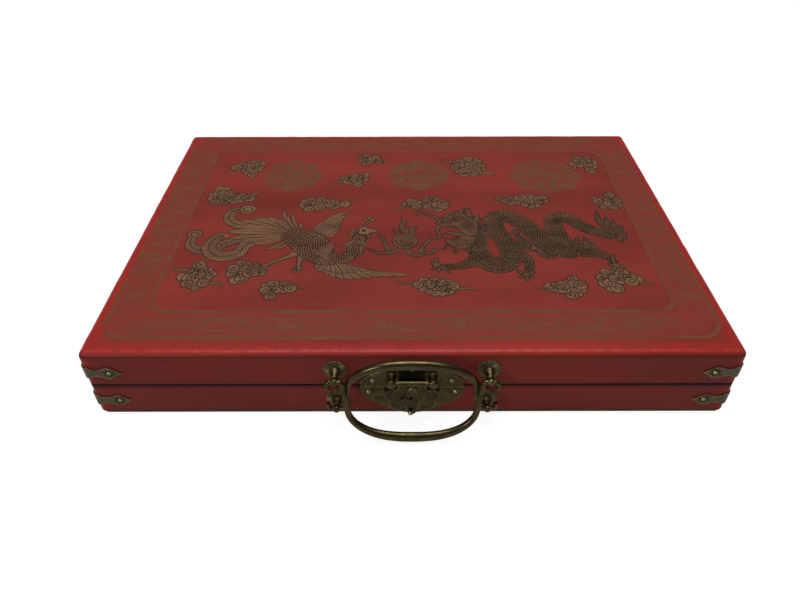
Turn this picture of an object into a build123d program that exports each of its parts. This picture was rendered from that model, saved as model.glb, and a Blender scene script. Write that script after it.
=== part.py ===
"""A flat travelling case for a mahjong set.

Two shallow wooden trays, covered in leatherette, close on each other. The rear
edge has two butt hinges. The front has a split oval latch plate with a hasp and
a swinging catch, and a pair of drop bails: one on the lid, one on the base.
Every vertical edge is wrapped by nailed brass straps.

Units are millimetres. +X runs to the right, +Y to the hinges, +Z up. The origin
is the centre of the underside, where the case rests.
"""

import os
from math import asin, cos, pi, radians, sin

from build123d import *

os.makedirs("parts", exist_ok=True)

# %% Driving dimensions

# The two trays
case_width = 374.0
case_depth = 270.0
lid_top = 50.2
base_rim = 25.0
rim_gap = 0.6
corner_radius = 4.0
top_edge_radius = 4.0
bottom_edge_radius = 1.0
leather = 0.8
wall = 5.0
floor_panel = 3.0
lid_panel = 4.0
lining = 0.8
lining_setback = 3.0
sheet = 0.8
sheet_setback = 0.4

# Brass sheet and nails
strap_sheet = 0.8
plate_sheet = 1.0
nail_shank = 0.5
nail_hole_gap = 0.05
nail_length = 4.0
nail_head = 1.25
nail_head_height = 0.7

# Corner straps
strap_reach = 22.4
strap_height = 8.4
strap_waist = 5.4
strap_waist_at = 9.6
strap_nail_at = 15.2
strap_lobe_at = 14.4
strap_tip_at = 19.2
base_strap_inset = 12.0
lid_strap_inset = 10.0

# Oval latch plate, split at the seam
latch_half_width = 30.0
latch_rise = 14.6
latch_drop = 22.3
plate_edge = 0.25

# Hasp hinge
hasp_pin_level = 33.4
hasp_pin_off = 6.8
hasp_pin_radius = 0.8
hasp_pin_reach = 1.0
hasp_pin_gap = 0.1
knuckle_wall = 0.8
knuckle_gap = 1.25
hasp_post_at = 11.8
hasp_post_radius = 1.9
hasp_post_knob = 2.4
hasp_post_foot = 2.7
hasp_post_foot_height = 0.7
hasp_post_knob_length = 2.4
hasp_post_knob_ease = 0.3
hasp_post_end = 9.4
hasp_sheet = 0.9
hasp_back = 2.9
hasp_bend_low = 29.9
hasp_bend_high = 31.4
hasp_bend_ease = 0.4
hasp_half_width = 16.2
hasp_neck_rise = 2.6
hasp_horn_drop = 1.8
hasp_notch_drop = 9.6
hasp_foot_drop = 17.4
hasp_drop = 19.6

# Staple and catch
staple_wire = 0.75
staple_low = 18.7
staple_high = 21.7
staple_off = 3.0
staple_gap = 0.35
catch_rivet_level = 25.4
catch_rivet_radius = 1.0
catch_rivet_head = 1.9
catch_sheet = 0.9
catch_gap = 0.15
catch_crown = 2.6
catch_drop = 21.0
rivet_gap = 0.1
rivet_dome = 0.8
catch_knob_level = 7.9
catch_knob_at = -0.8
catch_knob_radius = 1.5
catch_knob_shank = 0.6
catch_knob_lift = 0.3

# Rosettes, posts and bails
rosette_at = 43.5
rosette_radius = 6.9
rosette_flutes = 28
rosette_rim = 0.6
rosette_dome = 1.5
flute_rise = 0.15
post_shank = 1.2
post_shank_length = 5.0
post_neck = 1.9
post_collar = 3.2
post_collar_height = 0.8
post_ball = 2.3
upper_bail_level = 38.1
upper_bail_off = 10.0
lower_bail_level = 14.6
lower_bail_off = 8.8
bail_hole_gap = 0.1
bail_length = 35.6
bail_arm_at = 39.2
bail_shoulder_at = 37.4
bail_shoulder_drop = 11.0
bail_roundness = 2.45
bail_wire = 1.35
bail_grip_width = 3.0
bail_grip_depth = 2.4
bail_bend = 2.0
bail_tail = 4.6
upper_bail_lean = 18.0

# Butt hinges
hinge_inset = 77.0
hinge_length = 40.0
hinge_leaf_height = 11.0
hinge_leaf = 1.0
hinge_barrel = 2.0
hinge_pin_radius = 1.0
hinge_pin_gap = 0.1
hinge_face_gap = 0.4
hinge_knuckles = 5
hinge_knuckle_gap = 0.2
hinge_nail_pitch = 14.0
hinge_nail_edge = 3.6
hinge_leaf_corner = 2.0

# %% Sizes that follow

lid_rim = base_rim + rim_gap
hinge_level = lid_top / 2
hinge_at = case_width / 2 - hinge_inset
hinge_off = hinge_face_gap + hinge_barrel
core_width = case_width - 2 * leather
core_depth = case_depth - 2 * leather
core_radius = corner_radius - leather
inner_width = core_width - 2 * wall
inner_depth = core_depth - 2 * wall
base_core_low = sheet
base_core_high = base_rim - leather
base_floor = base_core_low + floor_panel
lid_core_low = lid_rim + leather
lid_core_high = lid_top - leather
lid_ceiling = lid_core_high - lid_panel
base_strap_level = base_rim - base_strap_inset
lid_strap_level = lid_rim + lid_strap_inset
nail_hole = nail_shank + nail_hole_gap
knuckle_bore = hasp_pin_radius + hasp_pin_gap
knuckle_width = 2 * (hasp_post_at - hasp_post_knob - knuckle_gap)
knuckle_radius = knuckle_bore + knuckle_wall
roll_back = hasp_pin_off - knuckle_radius
hasp_front = hasp_back + hasp_sheet
catch_back = hasp_front + catch_gap
catch_front = catch_back + catch_sheet
bail_hole = bail_wire + bail_hole_gap
post_hole = post_shank + nail_hole_gap


def front(off=0.0):
    """A plane parallel to the front face: local x is X, local y is Z, outward is the normal."""
    return Plane(
        origin=(0, -case_depth / 2 - off, 0), x_dir=(1, 0, 0), z_dir=(0, -1, 0)
    )


def back(off=0.0):
    """The same on the rear face, with local x along -X."""
    return Plane(
        origin=(0, case_depth / 2 + off, 0), x_dir=(-1, 0, 0), z_dir=(0, 1, 0)
    )


def side(sign, off=0.0):
    """The same on an end face, +1 to the right and -1 to the left; local x runs along Y times sign."""
    return Plane(
        origin=(sign * (case_width / 2 + off), 0, 0),
        x_dir=(0, sign, 0),
        z_dir=(sign, 0, 0),
    )


def keep(piece, name):
    """Label a finished piece and write it to its own file."""
    piece.label = name
    export_step(piece, f"parts/{name}.step")


# %% Nail positions on each face, as (local x, level)

strap_front_at = case_width / 2 - strap_nail_at
strap_side_at = case_depth / 2 - strap_nail_at
upper_latch_nails = [(-22.8, lid_rim + 3.9), (22.8, lid_rim + 3.9), (0.0, lid_rim + 12.8)]
lower_latch_nails = [(-25.3, base_rim - 4.9), (25.3, base_rim - 4.9)]
hinge_nails_x = [
    end * hinge_at + step * hinge_nail_pitch for end in (-1, 1) for step in (-1, 0, 1)
]
lower_hinge_nail_level = hinge_level - hinge_leaf_height + hinge_nail_edge
upper_hinge_nail_level = hinge_level + hinge_leaf_height - hinge_nail_edge


def strap_nails(reach, level):
    return [(-reach, level), (reach, level)]


def drill(face, points, radius, depth):
    """Take round holes out of the part being built, inward from a face."""
    with BuildSketch(face) as holes:
        with Locations(*points):
            Circle(radius)
    extrude(holes.sketch, amount=-depth, mode=Mode.SUBTRACT)


def drill_tray(strap_level, front_points, back_points, post_level):
    """The nail and screw holes of one tray, through leatherette and into wood."""
    depth = nail_length
    posts = [(-rosette_at, post_level), (rosette_at, post_level)]
    drill(front(), posts, post_hole, post_shank_length)
    drill(front(), strap_nails(strap_front_at, strap_level), nail_hole, depth)
    drill(back(), strap_nails(strap_front_at, strap_level), nail_hole, depth)
    for sign in (-1, 1):
        drill(side(sign), strap_nails(strap_side_at, strap_level), nail_hole, depth)
    drill(front(), front_points, nail_hole, depth)
    drill(back(), back_points, nail_hole, depth)


base_holes = (
    base_strap_level,
    lower_latch_nails,
    [(x, lower_hinge_nail_level) for x in hinge_nails_x],
    lower_bail_level,
)
lid_holes = (
    lid_strap_level,
    upper_latch_nails,
    [(x, upper_hinge_nail_level) for x in hinge_nails_x],
    upper_bail_level,
)


# %% Wooden trays


def long_wall(sign, low, high, holes):
    """The front (-1) or rear (+1) wall of a tray, with its two outer corners rounded."""
    with BuildPart() as piece:
        with BuildSketch(Plane.XY.offset(low)):
            RectangleRounded(core_width, core_depth, core_radius)
            with Locations((0, sign * (core_depth - wall) / 2)):
                Rectangle(core_width, wall, mode=Mode.INTERSECT)
        extrude(amount=high - low)
        drill_tray(*holes)
    return piece.part


def short_wall(sign, low, high, holes):
    """The right (+1) or left (-1) wall, butted between the long ones."""
    with BuildPart() as piece:
        with BuildSketch(Plane.XY.offset(low)):
            with Locations((sign * (core_width - wall) / 2, 0)):
                Rectangle(wall, inner_depth)
        extrude(amount=high - low)
        drill_tray(*holes)
    return piece.part


for tray, low, high, holes in (
    ("base", base_floor, base_core_high, base_holes),
    ("lid", lid_core_low, lid_ceiling, lid_holes),
):
    keep(long_wall(-1, low, high, holes), f"{tray}_front_wall")
    keep(long_wall(1, low, high, holes), f"{tray}_back_wall")
    keep(short_wall(-1, low, high, holes), f"{tray}_left_wall")
    keep(short_wall(1, low, high, holes), f"{tray}_right_wall")

with BuildPart() as base_bottom_panel:
    with BuildSketch(Plane.XY.offset(base_core_low)):
        RectangleRounded(core_width, core_depth, core_radius)
    extrude(amount=floor_panel)
    fillet(base_bottom_panel.faces().sort_by(Axis.Z)[0].edges(), bottom_edge_radius)
keep(base_bottom_panel.part, "base_bottom_panel")

with BuildPart() as lid_top_panel:
    with BuildSketch(Plane.XY.offset(lid_ceiling)):
        RectangleRounded(core_width, core_depth, core_radius)
    extrude(amount=lid_panel)
    fillet(
        lid_top_panel.faces().sort_by(Axis.Z)[-1].edges(), top_edge_radius - leather
    )
keep(lid_top_panel.part, "lid_top_panel")

with BuildPart() as base_underside_sheet:
    with BuildSketch():
        RectangleRounded(
            case_width - 2 * (bottom_edge_radius + sheet_setback),
            case_depth - 2 * (bottom_edge_radius + sheet_setback),
            corner_radius - bottom_edge_radius,
        )
    extrude(amount=sheet)
keep(base_underside_sheet.part, "base_underside_sheet")

# %% Leatherette covers, wrapped over the rims

with BuildPart() as base_cover:
    with BuildSketch(Plane.XY.offset(base_core_low)):
        RectangleRounded(case_width, case_depth, corner_radius)
    extrude(amount=base_rim - base_core_low)
    fillet(base_cover.faces().sort_by(Axis.Z)[0].edges(), bottom_edge_radius + leather)
    with BuildSketch(Plane.XY.offset(base_core_low)) as base_core:
        RectangleRounded(core_width, core_depth, core_radius)
    extrude(
        base_core.sketch, amount=base_core_high - base_core_low, mode=Mode.SUBTRACT
    )
    with BuildSketch(Plane.XY.offset(base_core_high)) as base_mouth:
        Rectangle(inner_width, inner_depth)
    extrude(base_mouth.sketch, amount=leather, mode=Mode.SUBTRACT)
    drill_tray(*base_holes)
keep(base_cover.part, "base_cover")

with BuildPart() as lid_core:
    with BuildSketch(Plane.XY.offset(lid_core_low)):
        RectangleRounded(core_width, core_depth, core_radius)
    extrude(amount=lid_core_high - lid_core_low)
    fillet(lid_core.faces().sort_by(Axis.Z)[-1].edges(), top_edge_radius - leather)

with BuildPart() as lid_cover:
    with BuildSketch(Plane.XY.offset(lid_rim)):
        RectangleRounded(case_width, case_depth, corner_radius)
    extrude(amount=lid_top - lid_rim)
    fillet(lid_cover.faces().sort_by(Axis.Z)[-1].edges(), top_edge_radius)
    add(lid_core.part, mode=Mode.SUBTRACT)
    with BuildSketch(Plane.XY.offset(lid_rim)) as lid_mouth:
        Rectangle(inner_width, inner_depth)
    extrude(lid_mouth.sketch, amount=leather, mode=Mode.SUBTRACT)
    drill_tray(*lid_holes)
keep(lid_cover.part, "lid_cover")

# %% Felt linings, glued into the trays

with BuildPart() as base_lining:
    with BuildSketch(Plane.XY.offset(base_floor)):
        Rectangle(inner_width, inner_depth)
    extrude(amount=base_core_high - lining_setback - base_floor)
    with BuildSketch(Plane.XY.offset(base_floor + lining)) as base_hollow:
        Rectangle(inner_width - 2 * lining, inner_depth - 2 * lining)
    extrude(base_hollow.sketch, amount=base_rim, mode=Mode.SUBTRACT)
keep(base_lining.part, "base_lining")

with BuildPart() as lid_lining:
    with BuildSketch(Plane.XY.offset(lid_ceiling)):
        Rectangle(inner_width, inner_depth)
    extrude(amount=lid_core_low + lining_setback - lid_ceiling)
    with BuildSketch(Plane.XY.offset(lid_ceiling - lining)) as lid_hollow:
        Rectangle(inner_width - 2 * lining, inner_depth - 2 * lining)
    extrude(lid_hollow.sketch, amount=-lid_top, mode=Mode.SUBTRACT)
keep(lid_lining.part, "lid_lining")

# %% Nails: a domed head on a short shank


def dome(radius, level, height):
    """The half profile of a shallow spherical cap, from its rim to the axis."""
    ball = (radius**2 + height**2) / (2 * height)
    spread = asin(radius / ball) / 2
    middle = (ball * sin(spread), level + height - ball + ball * cos(spread))
    return ThreePointArc((radius, level), middle, (0, level + height))


with BuildPart() as nail:
    with BuildSketch(Plane.XZ):
        with BuildLine():
            Polyline(
                (0, nail_head_height),
                (0, -nail_length),
                (nail_shank, -nail_length),
                (nail_shank, 0),
                (nail_head, 0),
            )
            dome(nail_head, 0, nail_head_height)
        make_face()
    revolve(axis=Axis.Z)


def nails_on(face, points):
    """Nails driven square into a face at local points."""
    with BuildPart() as group:
        for x, level in points:
            spot = face.from_local_coords((x, level, 0))
            with Locations(Plane(origin=spot, x_dir=face.x_dir, z_dir=face.z_dir)):
                add(nail.part)
    return group.part


def strap_nail_group(level):
    """The eight nails that hold one tray's four straps."""
    with BuildPart() as group:
        add(nails_on(front(strap_sheet), strap_nails(strap_front_at, level)))
        add(nails_on(back(strap_sheet), strap_nails(strap_front_at, level)))
        for sign in (-1, 1):
            add(nails_on(side(sign, strap_sheet), strap_nails(strap_side_at, level)))
    return group.part


keep(strap_nail_group(base_strap_level), "base_strap_nails")
keep(strap_nail_group(lid_strap_level), "lid_strap_nails")
keep(nails_on(front(plate_sheet), upper_latch_nails), "latch_upper_nails")
keep(nails_on(front(plate_sheet), lower_latch_nails), "latch_lower_nails")
keep(
    nails_on(back(hinge_leaf), [(x, upper_hinge_nail_level) for x in hinge_nails_x]),
    "hinge_upper_nails",
)
keep(
    nails_on(back(hinge_leaf), [(x, lower_hinge_nail_level) for x in hinge_nails_x]),
    "hinge_lower_nails",
)

# %% Corner straps


def strap_outline():
    """One arm of a strap: from past the corner, at local x = 0, to its ogee point on the left."""
    half = strap_height / 2
    waist = strap_waist / 2
    with BuildLine() as outline:
        Line((corner_radius, half), (-corner_radius, half))
        Spline(
            (-corner_radius, half),
            (-strap_waist_at, waist),
            (-strap_lobe_at, half),
            (-strap_tip_at, 0.4 * half),
            (-strap_reach, 0),
        )
        mirror(about=Plane.XZ)
        Line((corner_radius, half), (corner_radius, -half))
    return outline.line


def corner_strap(x_sign, y_sign, level):
    """A strap bent round one vertical edge: a band cut to the same outline on both faces.

    It is bent with the edge's own corner at the origin, and then set on the case.
    """
    span = strap_reach + strap_sheet
    with BuildPart() as bent:
        with BuildSketch(Plane.XY.offset(-strap_height)):
            with Locations((-2 * span, 2 * span)):
                RectangleRounded(
                    4 * span + 2 * strap_sheet,
                    4 * span + 2 * strap_sheet,
                    corner_radius + strap_sheet,
                )
                RectangleRounded(4 * span, 4 * span, corner_radius, mode=Mode.SUBTRACT)
            Rectangle(2 * span, 2 * span, mode=Mode.INTERSECT)
        extrude(amount=2 * strap_height)
        with BuildSketch(
            Plane(origin=(0, -strap_sheet, 0), x_dir=(1, 0, 0), z_dir=(0, -1, 0))
        ) as on_front:
            with BuildLine():
                add(strap_outline())
            make_face()
        extrude(on_front.sketch, amount=-2 * strap_reach, mode=Mode.INTERSECT)
        with BuildSketch(
            Plane(origin=(strap_sheet, 0, 0), x_dir=(0, -1, 0), z_dir=(-1, 0, 0))
        ) as on_side:
            with BuildLine():
                add(strap_outline())
            make_face()
        extrude(on_side.sketch, amount=2 * strap_reach, mode=Mode.INTERSECT)
    with BuildPart() as strap:
        with Locations((case_width / 2, -case_depth / 2, level)):
            add(bent.part)
        drill(front(strap_sheet), [(strap_front_at, level)], nail_hole, 2 * strap_sheet)
        drill(side(1, strap_sheet), [(-strap_side_at, level)], nail_hole, 2 * strap_sheet)
    piece = strap.part
    if x_sign < 0:
        piece = mirror(piece, about=Plane.YZ)
    if y_sign > 0:
        piece = mirror(piece, about=Plane.XZ)
    return piece


for tray, level in (("base", base_strap_level), ("lid", lid_strap_level)):
    for y_sign, y_name in ((-1, "front"), (1, "back")):
        for x_sign, x_name in ((-1, "left"), (1, "right")):
            name = f"{tray}_strap_{y_name}_{x_name}"
            keep(corner_strap(x_sign, y_sign, level), name)

# %% Latch plates: one oval, split along the seam


def latch_half(outline_points, rim, nails):
    """Half of the oval, from the seam to its outer edge, with its nail holes."""
    with BuildPart() as plate:
        with BuildSketch(front()):
            with BuildLine():
                Spline(*outline_points, tangents=[(0, 1 if rim > base_rim else -1), (-1, 0)])
                mirror(about=Plane.YZ)
                Line((-latch_half_width, rim), (latch_half_width, rim))
            make_face()
        extrude(amount=plate_sheet)
        chamfer(plate.faces().sort_by(Axis.Y)[0].edges(), plate_edge)
        drill(front(plate_sheet), nails, nail_hole, 2 * plate_sheet)
    return plate.part


upper_oval = [
    (latch_half_width * cos(radians(turn)), lid_rim + latch_rise * sin(radians(turn)))
    for turn in (0, 30, 60, 90)
]
lower_oval = [
    (latch_half_width, base_rim),
    (0.8 * latch_half_width, base_rim - 0.55 * latch_drop),
    (0.5 * latch_half_width, base_rim - 0.80 * latch_drop),
    (0, base_rim - latch_drop),
]
keep(latch_half(upper_oval, lid_rim, upper_latch_nails), "latch_upper_plate")
keep(latch_half(lower_oval, base_rim, lower_latch_nails), "latch_lower_plate")

# %% Hasp posts, pin and plate


def turned(profile, face, x, level):
    """A turned piece: half profile as (radius, height) edges, stood on a face."""
    with BuildPart() as blank:
        with BuildSketch(Plane.XZ):
            with BuildLine():
                add(profile)
            make_face()
        revolve(axis=Axis.Z)
    spot = face.from_local_coords((x, level, 0))
    with BuildPart() as piece:
        with Locations(Plane(origin=spot, x_dir=face.x_dir, z_dir=face.z_dir)):
            add(blank.part)
    return piece.part


def hasp_post(sign):
    """A turned post with a knob end, bored for one end of the hasp pin."""
    foot_top = plate_sheet + hasp_post_foot_height
    knob_low = hasp_post_end - hasp_post_knob_length
    dome_low = hasp_post_end - 0.6 * hasp_post_knob_length
    with BuildLine() as profile:
        Polyline(
            (0, hasp_post_end),
            (0, plate_sheet),
            (hasp_post_foot, plate_sheet),
            (hasp_post_foot, foot_top),
            (hasp_post_radius, foot_top + hasp_post_foot_height),
            (hasp_post_radius, knob_low),
            (hasp_post_knob, knob_low + hasp_post_knob_ease),
            (hasp_post_knob, dome_low),
        )
        dome(hasp_post_knob, dome_low, hasp_post_end - dome_low)
    with BuildPart() as post:
        add(turned(profile.line, front(), sign * hasp_post_at, hasp_pin_level))
        add(hasp_pin.part, mode=Mode.SUBTRACT)
    return post.part


with BuildPart() as hasp_pin:
    pin_end = hasp_post_at + hasp_pin_reach
    with BuildSketch(Plane.YZ.offset(-pin_end)):
        with Locations((-case_depth / 2 - hasp_pin_off, hasp_pin_level)):
            Circle(hasp_pin_radius)
    extrude(amount=2 * pin_end)
keep(hasp_pin.part, "hasp_pin")
keep(hasp_post(-1), "hasp_post_left")
keep(hasp_post(1), "hasp_post_right")

with BuildPart() as hasp_plate:
    knuckle_half = knuckle_width / 2
    neck = (knuckle_half, base_rim + hasp_neck_rise)
    horn = (hasp_half_width - 1.2, base_rim - hasp_horn_drop)
    notch = (0.8 * hasp_half_width, base_rim - hasp_notch_drop)
    foot = (0.6 * hasp_half_width, base_rim - hasp_foot_drop)
    with BuildSketch(front(hasp_back)):
        with BuildLine():
            Polyline((0, hasp_pin_level), (knuckle_half, hasp_pin_level), neck)
            Spline(neck, (9.6, horn[1] + 1.4), (12.8, horn[1] + 0.7), horn)
            Spline(horn, (hasp_half_width, horn[1] - 2.6), notch)
            Spline(notch, (0.83 * hasp_half_width, notch[1] - 3.8), foot)
            Spline(foot, (6.0, foot[1] - 1.4), (0, base_rim - hasp_drop))
            mirror(about=Plane.YZ)
        make_face()
        with BuildLine():
            slot_half = staple_wire + staple_gap
            slot_top = staple_high + staple_wire + staple_gap
            Polyline((slot_half, 0), (slot_half, slot_top))
            ThreePointArc((slot_half, slot_top), (0, slot_top + slot_half), (-slot_half, slot_top))
            Polyline((-slot_half, slot_top), (-slot_half, 0), (slot_half, 0))
        make_face(mode=Mode.SUBTRACT)
    extrude(amount=roll_back + hasp_sheet - hasp_back)
    face_y = -case_depth / 2
    with BuildSketch(Plane.YZ.offset(-case_width / 2)) as bent_sheet:
        with BuildLine():
            Polyline(
                (face_y - hasp_back, 0),
                (face_y - hasp_back, hasp_bend_low),
                (face_y - roll_back, hasp_bend_high),
                (face_y - roll_back, hasp_pin_level),
                (face_y - roll_back - hasp_sheet, hasp_pin_level),
                (face_y - roll_back - hasp_sheet, hasp_bend_high - hasp_bend_ease),
                (face_y - hasp_front, hasp_bend_low - hasp_bend_ease),
                (face_y - hasp_front, 0),
                close=True,
            )
        make_face()
    extrude(bent_sheet.sketch, amount=case_width, mode=Mode.INTERSECT)
    with BuildSketch(Plane.YZ.offset(-knuckle_half)) as roll:
        with Locations((face_y - hasp_pin_off, hasp_pin_level)):
            Circle(knuckle_radius)
    extrude(roll.sketch, amount=knuckle_width)
    with BuildSketch(Plane.YZ.offset(-knuckle_half)) as bore:
        with Locations((face_y - hasp_pin_off, hasp_pin_level)):
            Circle(knuckle_bore)
    extrude(bore.sketch, amount=knuckle_width, mode=Mode.SUBTRACT)
    drill(front(hasp_front), [(0, catch_rivet_level)], catch_rivet_radius, 2 * hasp_sheet)
keep(hasp_plate.part, "hasp_plate")

# %% Staple, catch, rivet and knob

with BuildPart() as latch_staple:
    bend = (staple_high - staple_low) / 2
    staple_plane = Plane(
        origin=(0, -case_depth / 2, (staple_low + staple_high) / 2),
        x_dir=(0, 0, 1),
        z_dir=(1, 0, 0),
    )
    with BuildLine(staple_plane) as staple_path:
        Line((bend, plate_sheet), (bend, staple_off - bend))
        ThreePointArc((bend, staple_off - bend), (0, staple_off), (-bend, staple_off - bend))
        Line((-bend, staple_off - bend), (-bend, plate_sheet))
    with BuildSketch(Plane(origin=staple_path.line @ 0, z_dir=staple_path.line % 0)):
        Circle(staple_wire)
    sweep()
keep(latch_staple.part, "latch_staple")

with BuildPart() as catch_plate:
    right_corner = (4.8, catch_rivet_level - 9.5)
    left_corner = (-6.4, catch_rivet_level - 8.5)
    tip = (0, catch_rivet_level - catch_drop)
    with BuildSketch(front(catch_back)):
        with BuildLine():
            ThreePointArc(
                (-catch_crown, catch_rivet_level),
                (0, catch_rivet_level + catch_crown),
                (catch_crown, catch_rivet_level),
            )
            Line((catch_crown, catch_rivet_level), right_corner)
            Spline(right_corner, (3.4, tip[1] + 5.4), (1.7, tip[1] + 1.2), tip)
            Spline(tip, (-2.4, tip[1] + 2.0), (-4.2, tip[1] + 8.0), left_corner)
            Spline(left_corner, (-3.9, catch_rivet_level - 5.7), (-catch_crown, catch_rivet_level))
        make_face()
        with BuildSketch(mode=Mode.SUBTRACT):
            with Locations((-1.6, catch_rivet_level - 7.1)):
                SlotOverall(5.4, 1.3, rotation=-35)
            with Locations((-0.3, catch_rivet_level - 5.9)):
                Circle(1.25)
    extrude(amount=catch_sheet)
    rivet_spot = [(0, catch_rivet_level)]
    knob_spot = [(catch_knob_at, catch_knob_level)]
    drill(front(catch_front), rivet_spot, catch_rivet_radius, 2 * catch_sheet)
    drill(front(catch_front), knob_spot, catch_knob_shank, 2 * catch_sheet)
keep(catch_plate.part, "catch_plate")

with BuildLine() as rivet_profile:
    rivet_seat = catch_front + rivet_gap
    Polyline(
        (0, rivet_seat + rivet_dome),
        (0, hasp_back),
        (catch_rivet_radius, hasp_back),
        (catch_rivet_radius, rivet_seat),
        (catch_rivet_head, rivet_seat),
    )
    dome(catch_rivet_head, rivet_seat, rivet_dome)
keep(turned(rivet_profile.line, front(), 0, catch_rivet_level), "catch_rivet")

with BuildLine() as knob_profile:
    knob_neck = 0.6 * catch_knob_radius
    knob_seat = catch_front + catch_knob_lift
    knob_centre = knob_seat + (catch_knob_radius**2 - knob_neck**2) ** 0.5
    Polyline(
        (0, knob_centre + catch_knob_radius),
        (0, catch_back),
        (catch_knob_shank, catch_back),
        (catch_knob_shank, catch_front),
        (knob_neck, catch_front),
        (knob_neck, knob_seat),
    )
    ThreePointArc(
        (knob_neck, knob_seat),
        (catch_knob_radius, knob_centre),
        (0, knob_centre + catch_knob_radius),
    )
keep(turned(knob_profile.line, front(), catch_knob_at, catch_knob_level), "catch_knob")

# %% Fluted rosettes under the bail posts

with BuildPart() as rosette:
    with BuildSketch(Plane.XZ):
        with BuildLine():
            Polyline(
                (post_shank + nail_hole_gap, rosette_dome),
                (post_shank + nail_hole_gap, 0),
                (rosette_radius, 0),
                (rosette_radius, rosette_rim),
            )
            ThreePointArc(
                (rosette_radius, rosette_rim),
                (0.72 * rosette_radius, 0.55 * (rosette_dome + rosette_rim)),
                (post_collar, rosette_dome),
            )
            Line((post_collar, rosette_dome), (post_shank + nail_hole_gap, rosette_dome))
        make_face()
    revolve(axis=Axis.Z)
    flute = 0.36 * 2 * pi * rosette_radius / rosette_flutes
    slope = (rosette_dome - rosette_rim) / (rosette_radius - post_collar)
    with BuildPart(mode=Mode.PRIVATE) as flute_cutter:
        with BuildSketch(
            Plane(
                origin=(rosette_radius + 1, 0, rosette_rim - slope + flute_rise),
                x_dir=(0, 1, 0),
                z_dir=(-1, 0, slope),
            )
        ):
            Circle(flute)
        extrude(amount=rosette_radius + 1 - 1.15 * post_collar, taper=3)
    with PolarLocations(0, rosette_flutes):
        add(flute_cutter.part, mode=Mode.SUBTRACT)

bail_posts = (
    ("upper", upper_bail_level, upper_bail_off),
    ("lower", lower_bail_level, lower_bail_off),
)


def bail_post(sign, level, off):
    """A turned post: screw shank, collar, neck, and a ball bored across for the bail."""
    collar_top = rosette_dome + post_collar_height
    cheek = (post_ball**2 - post_neck**2) ** 0.5
    with BuildLine() as profile:
        Polyline(
            (0, off + post_ball),
            (0, -post_shank_length),
            (post_shank, -post_shank_length),
            (post_shank, rosette_dome),
            (post_collar, rosette_dome),
            (post_collar, collar_top),
            (0.8 * post_collar, collar_top + post_collar_height),
            (0.85 * post_neck, (collar_top + off - cheek) / 2 + post_collar_height),
            (post_neck, off - cheek),
        )
        ThreePointArc((post_neck, off - cheek), (post_ball, off), (0, off + post_ball))
    with BuildPart() as post:
        add(turned(profile.line, front(), sign * rosette_at, level))
        with BuildSketch(Plane.YZ.offset(sign * rosette_at - 2 * post_ball)) as cross_bore:
            with Locations((-case_depth / 2 - off, level)):
                Circle(bail_hole)
        extrude(cross_bore.sketch, amount=4 * post_ball, mode=Mode.SUBTRACT)
    return post.part


for pair, level, off in bail_posts:
    for sign, hand in ((-1, "left"), (1, "right")):
        with BuildPart() as placed_rosette:
            spot = front().from_local_coords((sign * rosette_at, level, 0))
            with Locations(Plane(origin=spot, x_dir=(1, 0, 0), z_dir=(0, -1, 0))):
                add(rosette.part)
        keep(placed_rosette.part, f"{pair}_rosette_{hand}")
        keep(bail_post(sign, level, off), f"{pair}_bail_post_{hand}")

# %% Drop bails


def bail_curve(turn):
    """A point of the grip's rounded sweep, from the shoulder (0) to the middle of the grip (90)."""
    across = bail_shoulder_at * max(cos(radians(turn)), 0) ** (2 / bail_roundness)
    along = bail_length - bail_shoulder_drop
    return (across, bail_shoulder_drop + along * sin(radians(turn)) ** (2 / bail_roundness))


with BuildPart() as bail:
    half = [(bail_arm_at, bail_bend)] + [bail_curve(turn) for turn in (0, 18, 36, 54, 72)]
    other_half = [(-x, y) for x, y in reversed(half)]
    with BuildLine() as spine:
        Spline(*half, (0, bail_length), *other_half, tangents=[(0, 1), (0, -1)])
    stations = 8
    for step in range(stations + 1):
        at = step / stations
        swell = abs(sin(pi * at)) ** 1.5
        with BuildSketch(
            Plane(origin=spine.line @ at, x_dir=(0, 0, 1), z_dir=spine.line % at)
        ):
            Ellipse(
                bail_wire + (bail_grip_depth - bail_wire) * swell,
                bail_wire + (bail_grip_width - bail_wire) * swell,
            )
    sweep(path=spine.line, multisection=True)
    tail_at = 2 * rosette_at - bail_arm_at
    for sign in (-1, 1):
        with BuildLine() as end:
            FilletPolyline(
                (sign * bail_arm_at, bail_bend),
                (sign * bail_arm_at, 0),
                (sign * tail_at, 0),
                (sign * tail_at, bail_tail),
                radius=bail_bend * 0.999,
            )
        with BuildSketch(Plane(origin=end.line @ 0, z_dir=end.line % 0)):
            Circle(bail_wire)
        sweep(path=end.line)


def hung_bail(off, level, turn):
    """The bail on its pivot line, its grip turned outward by so much from straight down."""
    pivot = (0, -case_depth / 2 - off, level)
    outward = (-sin(radians(turn)), -cos(radians(turn)))
    with BuildPart() as piece:
        with Locations(
            Plane(origin=pivot, x_dir=(1, 0, 0), z_dir=(0, -outward[1], outward[0]))
        ):
            add(bail.part)
    return piece.part


keep(hung_bail(upper_bail_off, upper_bail_level, upper_bail_lean), "upper_bail")
keep(hung_bail(lower_bail_off, lower_bail_level, 180), "lower_bail")

# %% Butt hinges

hinge_axis = (case_depth / 2 + hinge_off, hinge_level)
knuckle_pitch = hinge_length / hinge_knuckles


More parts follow.
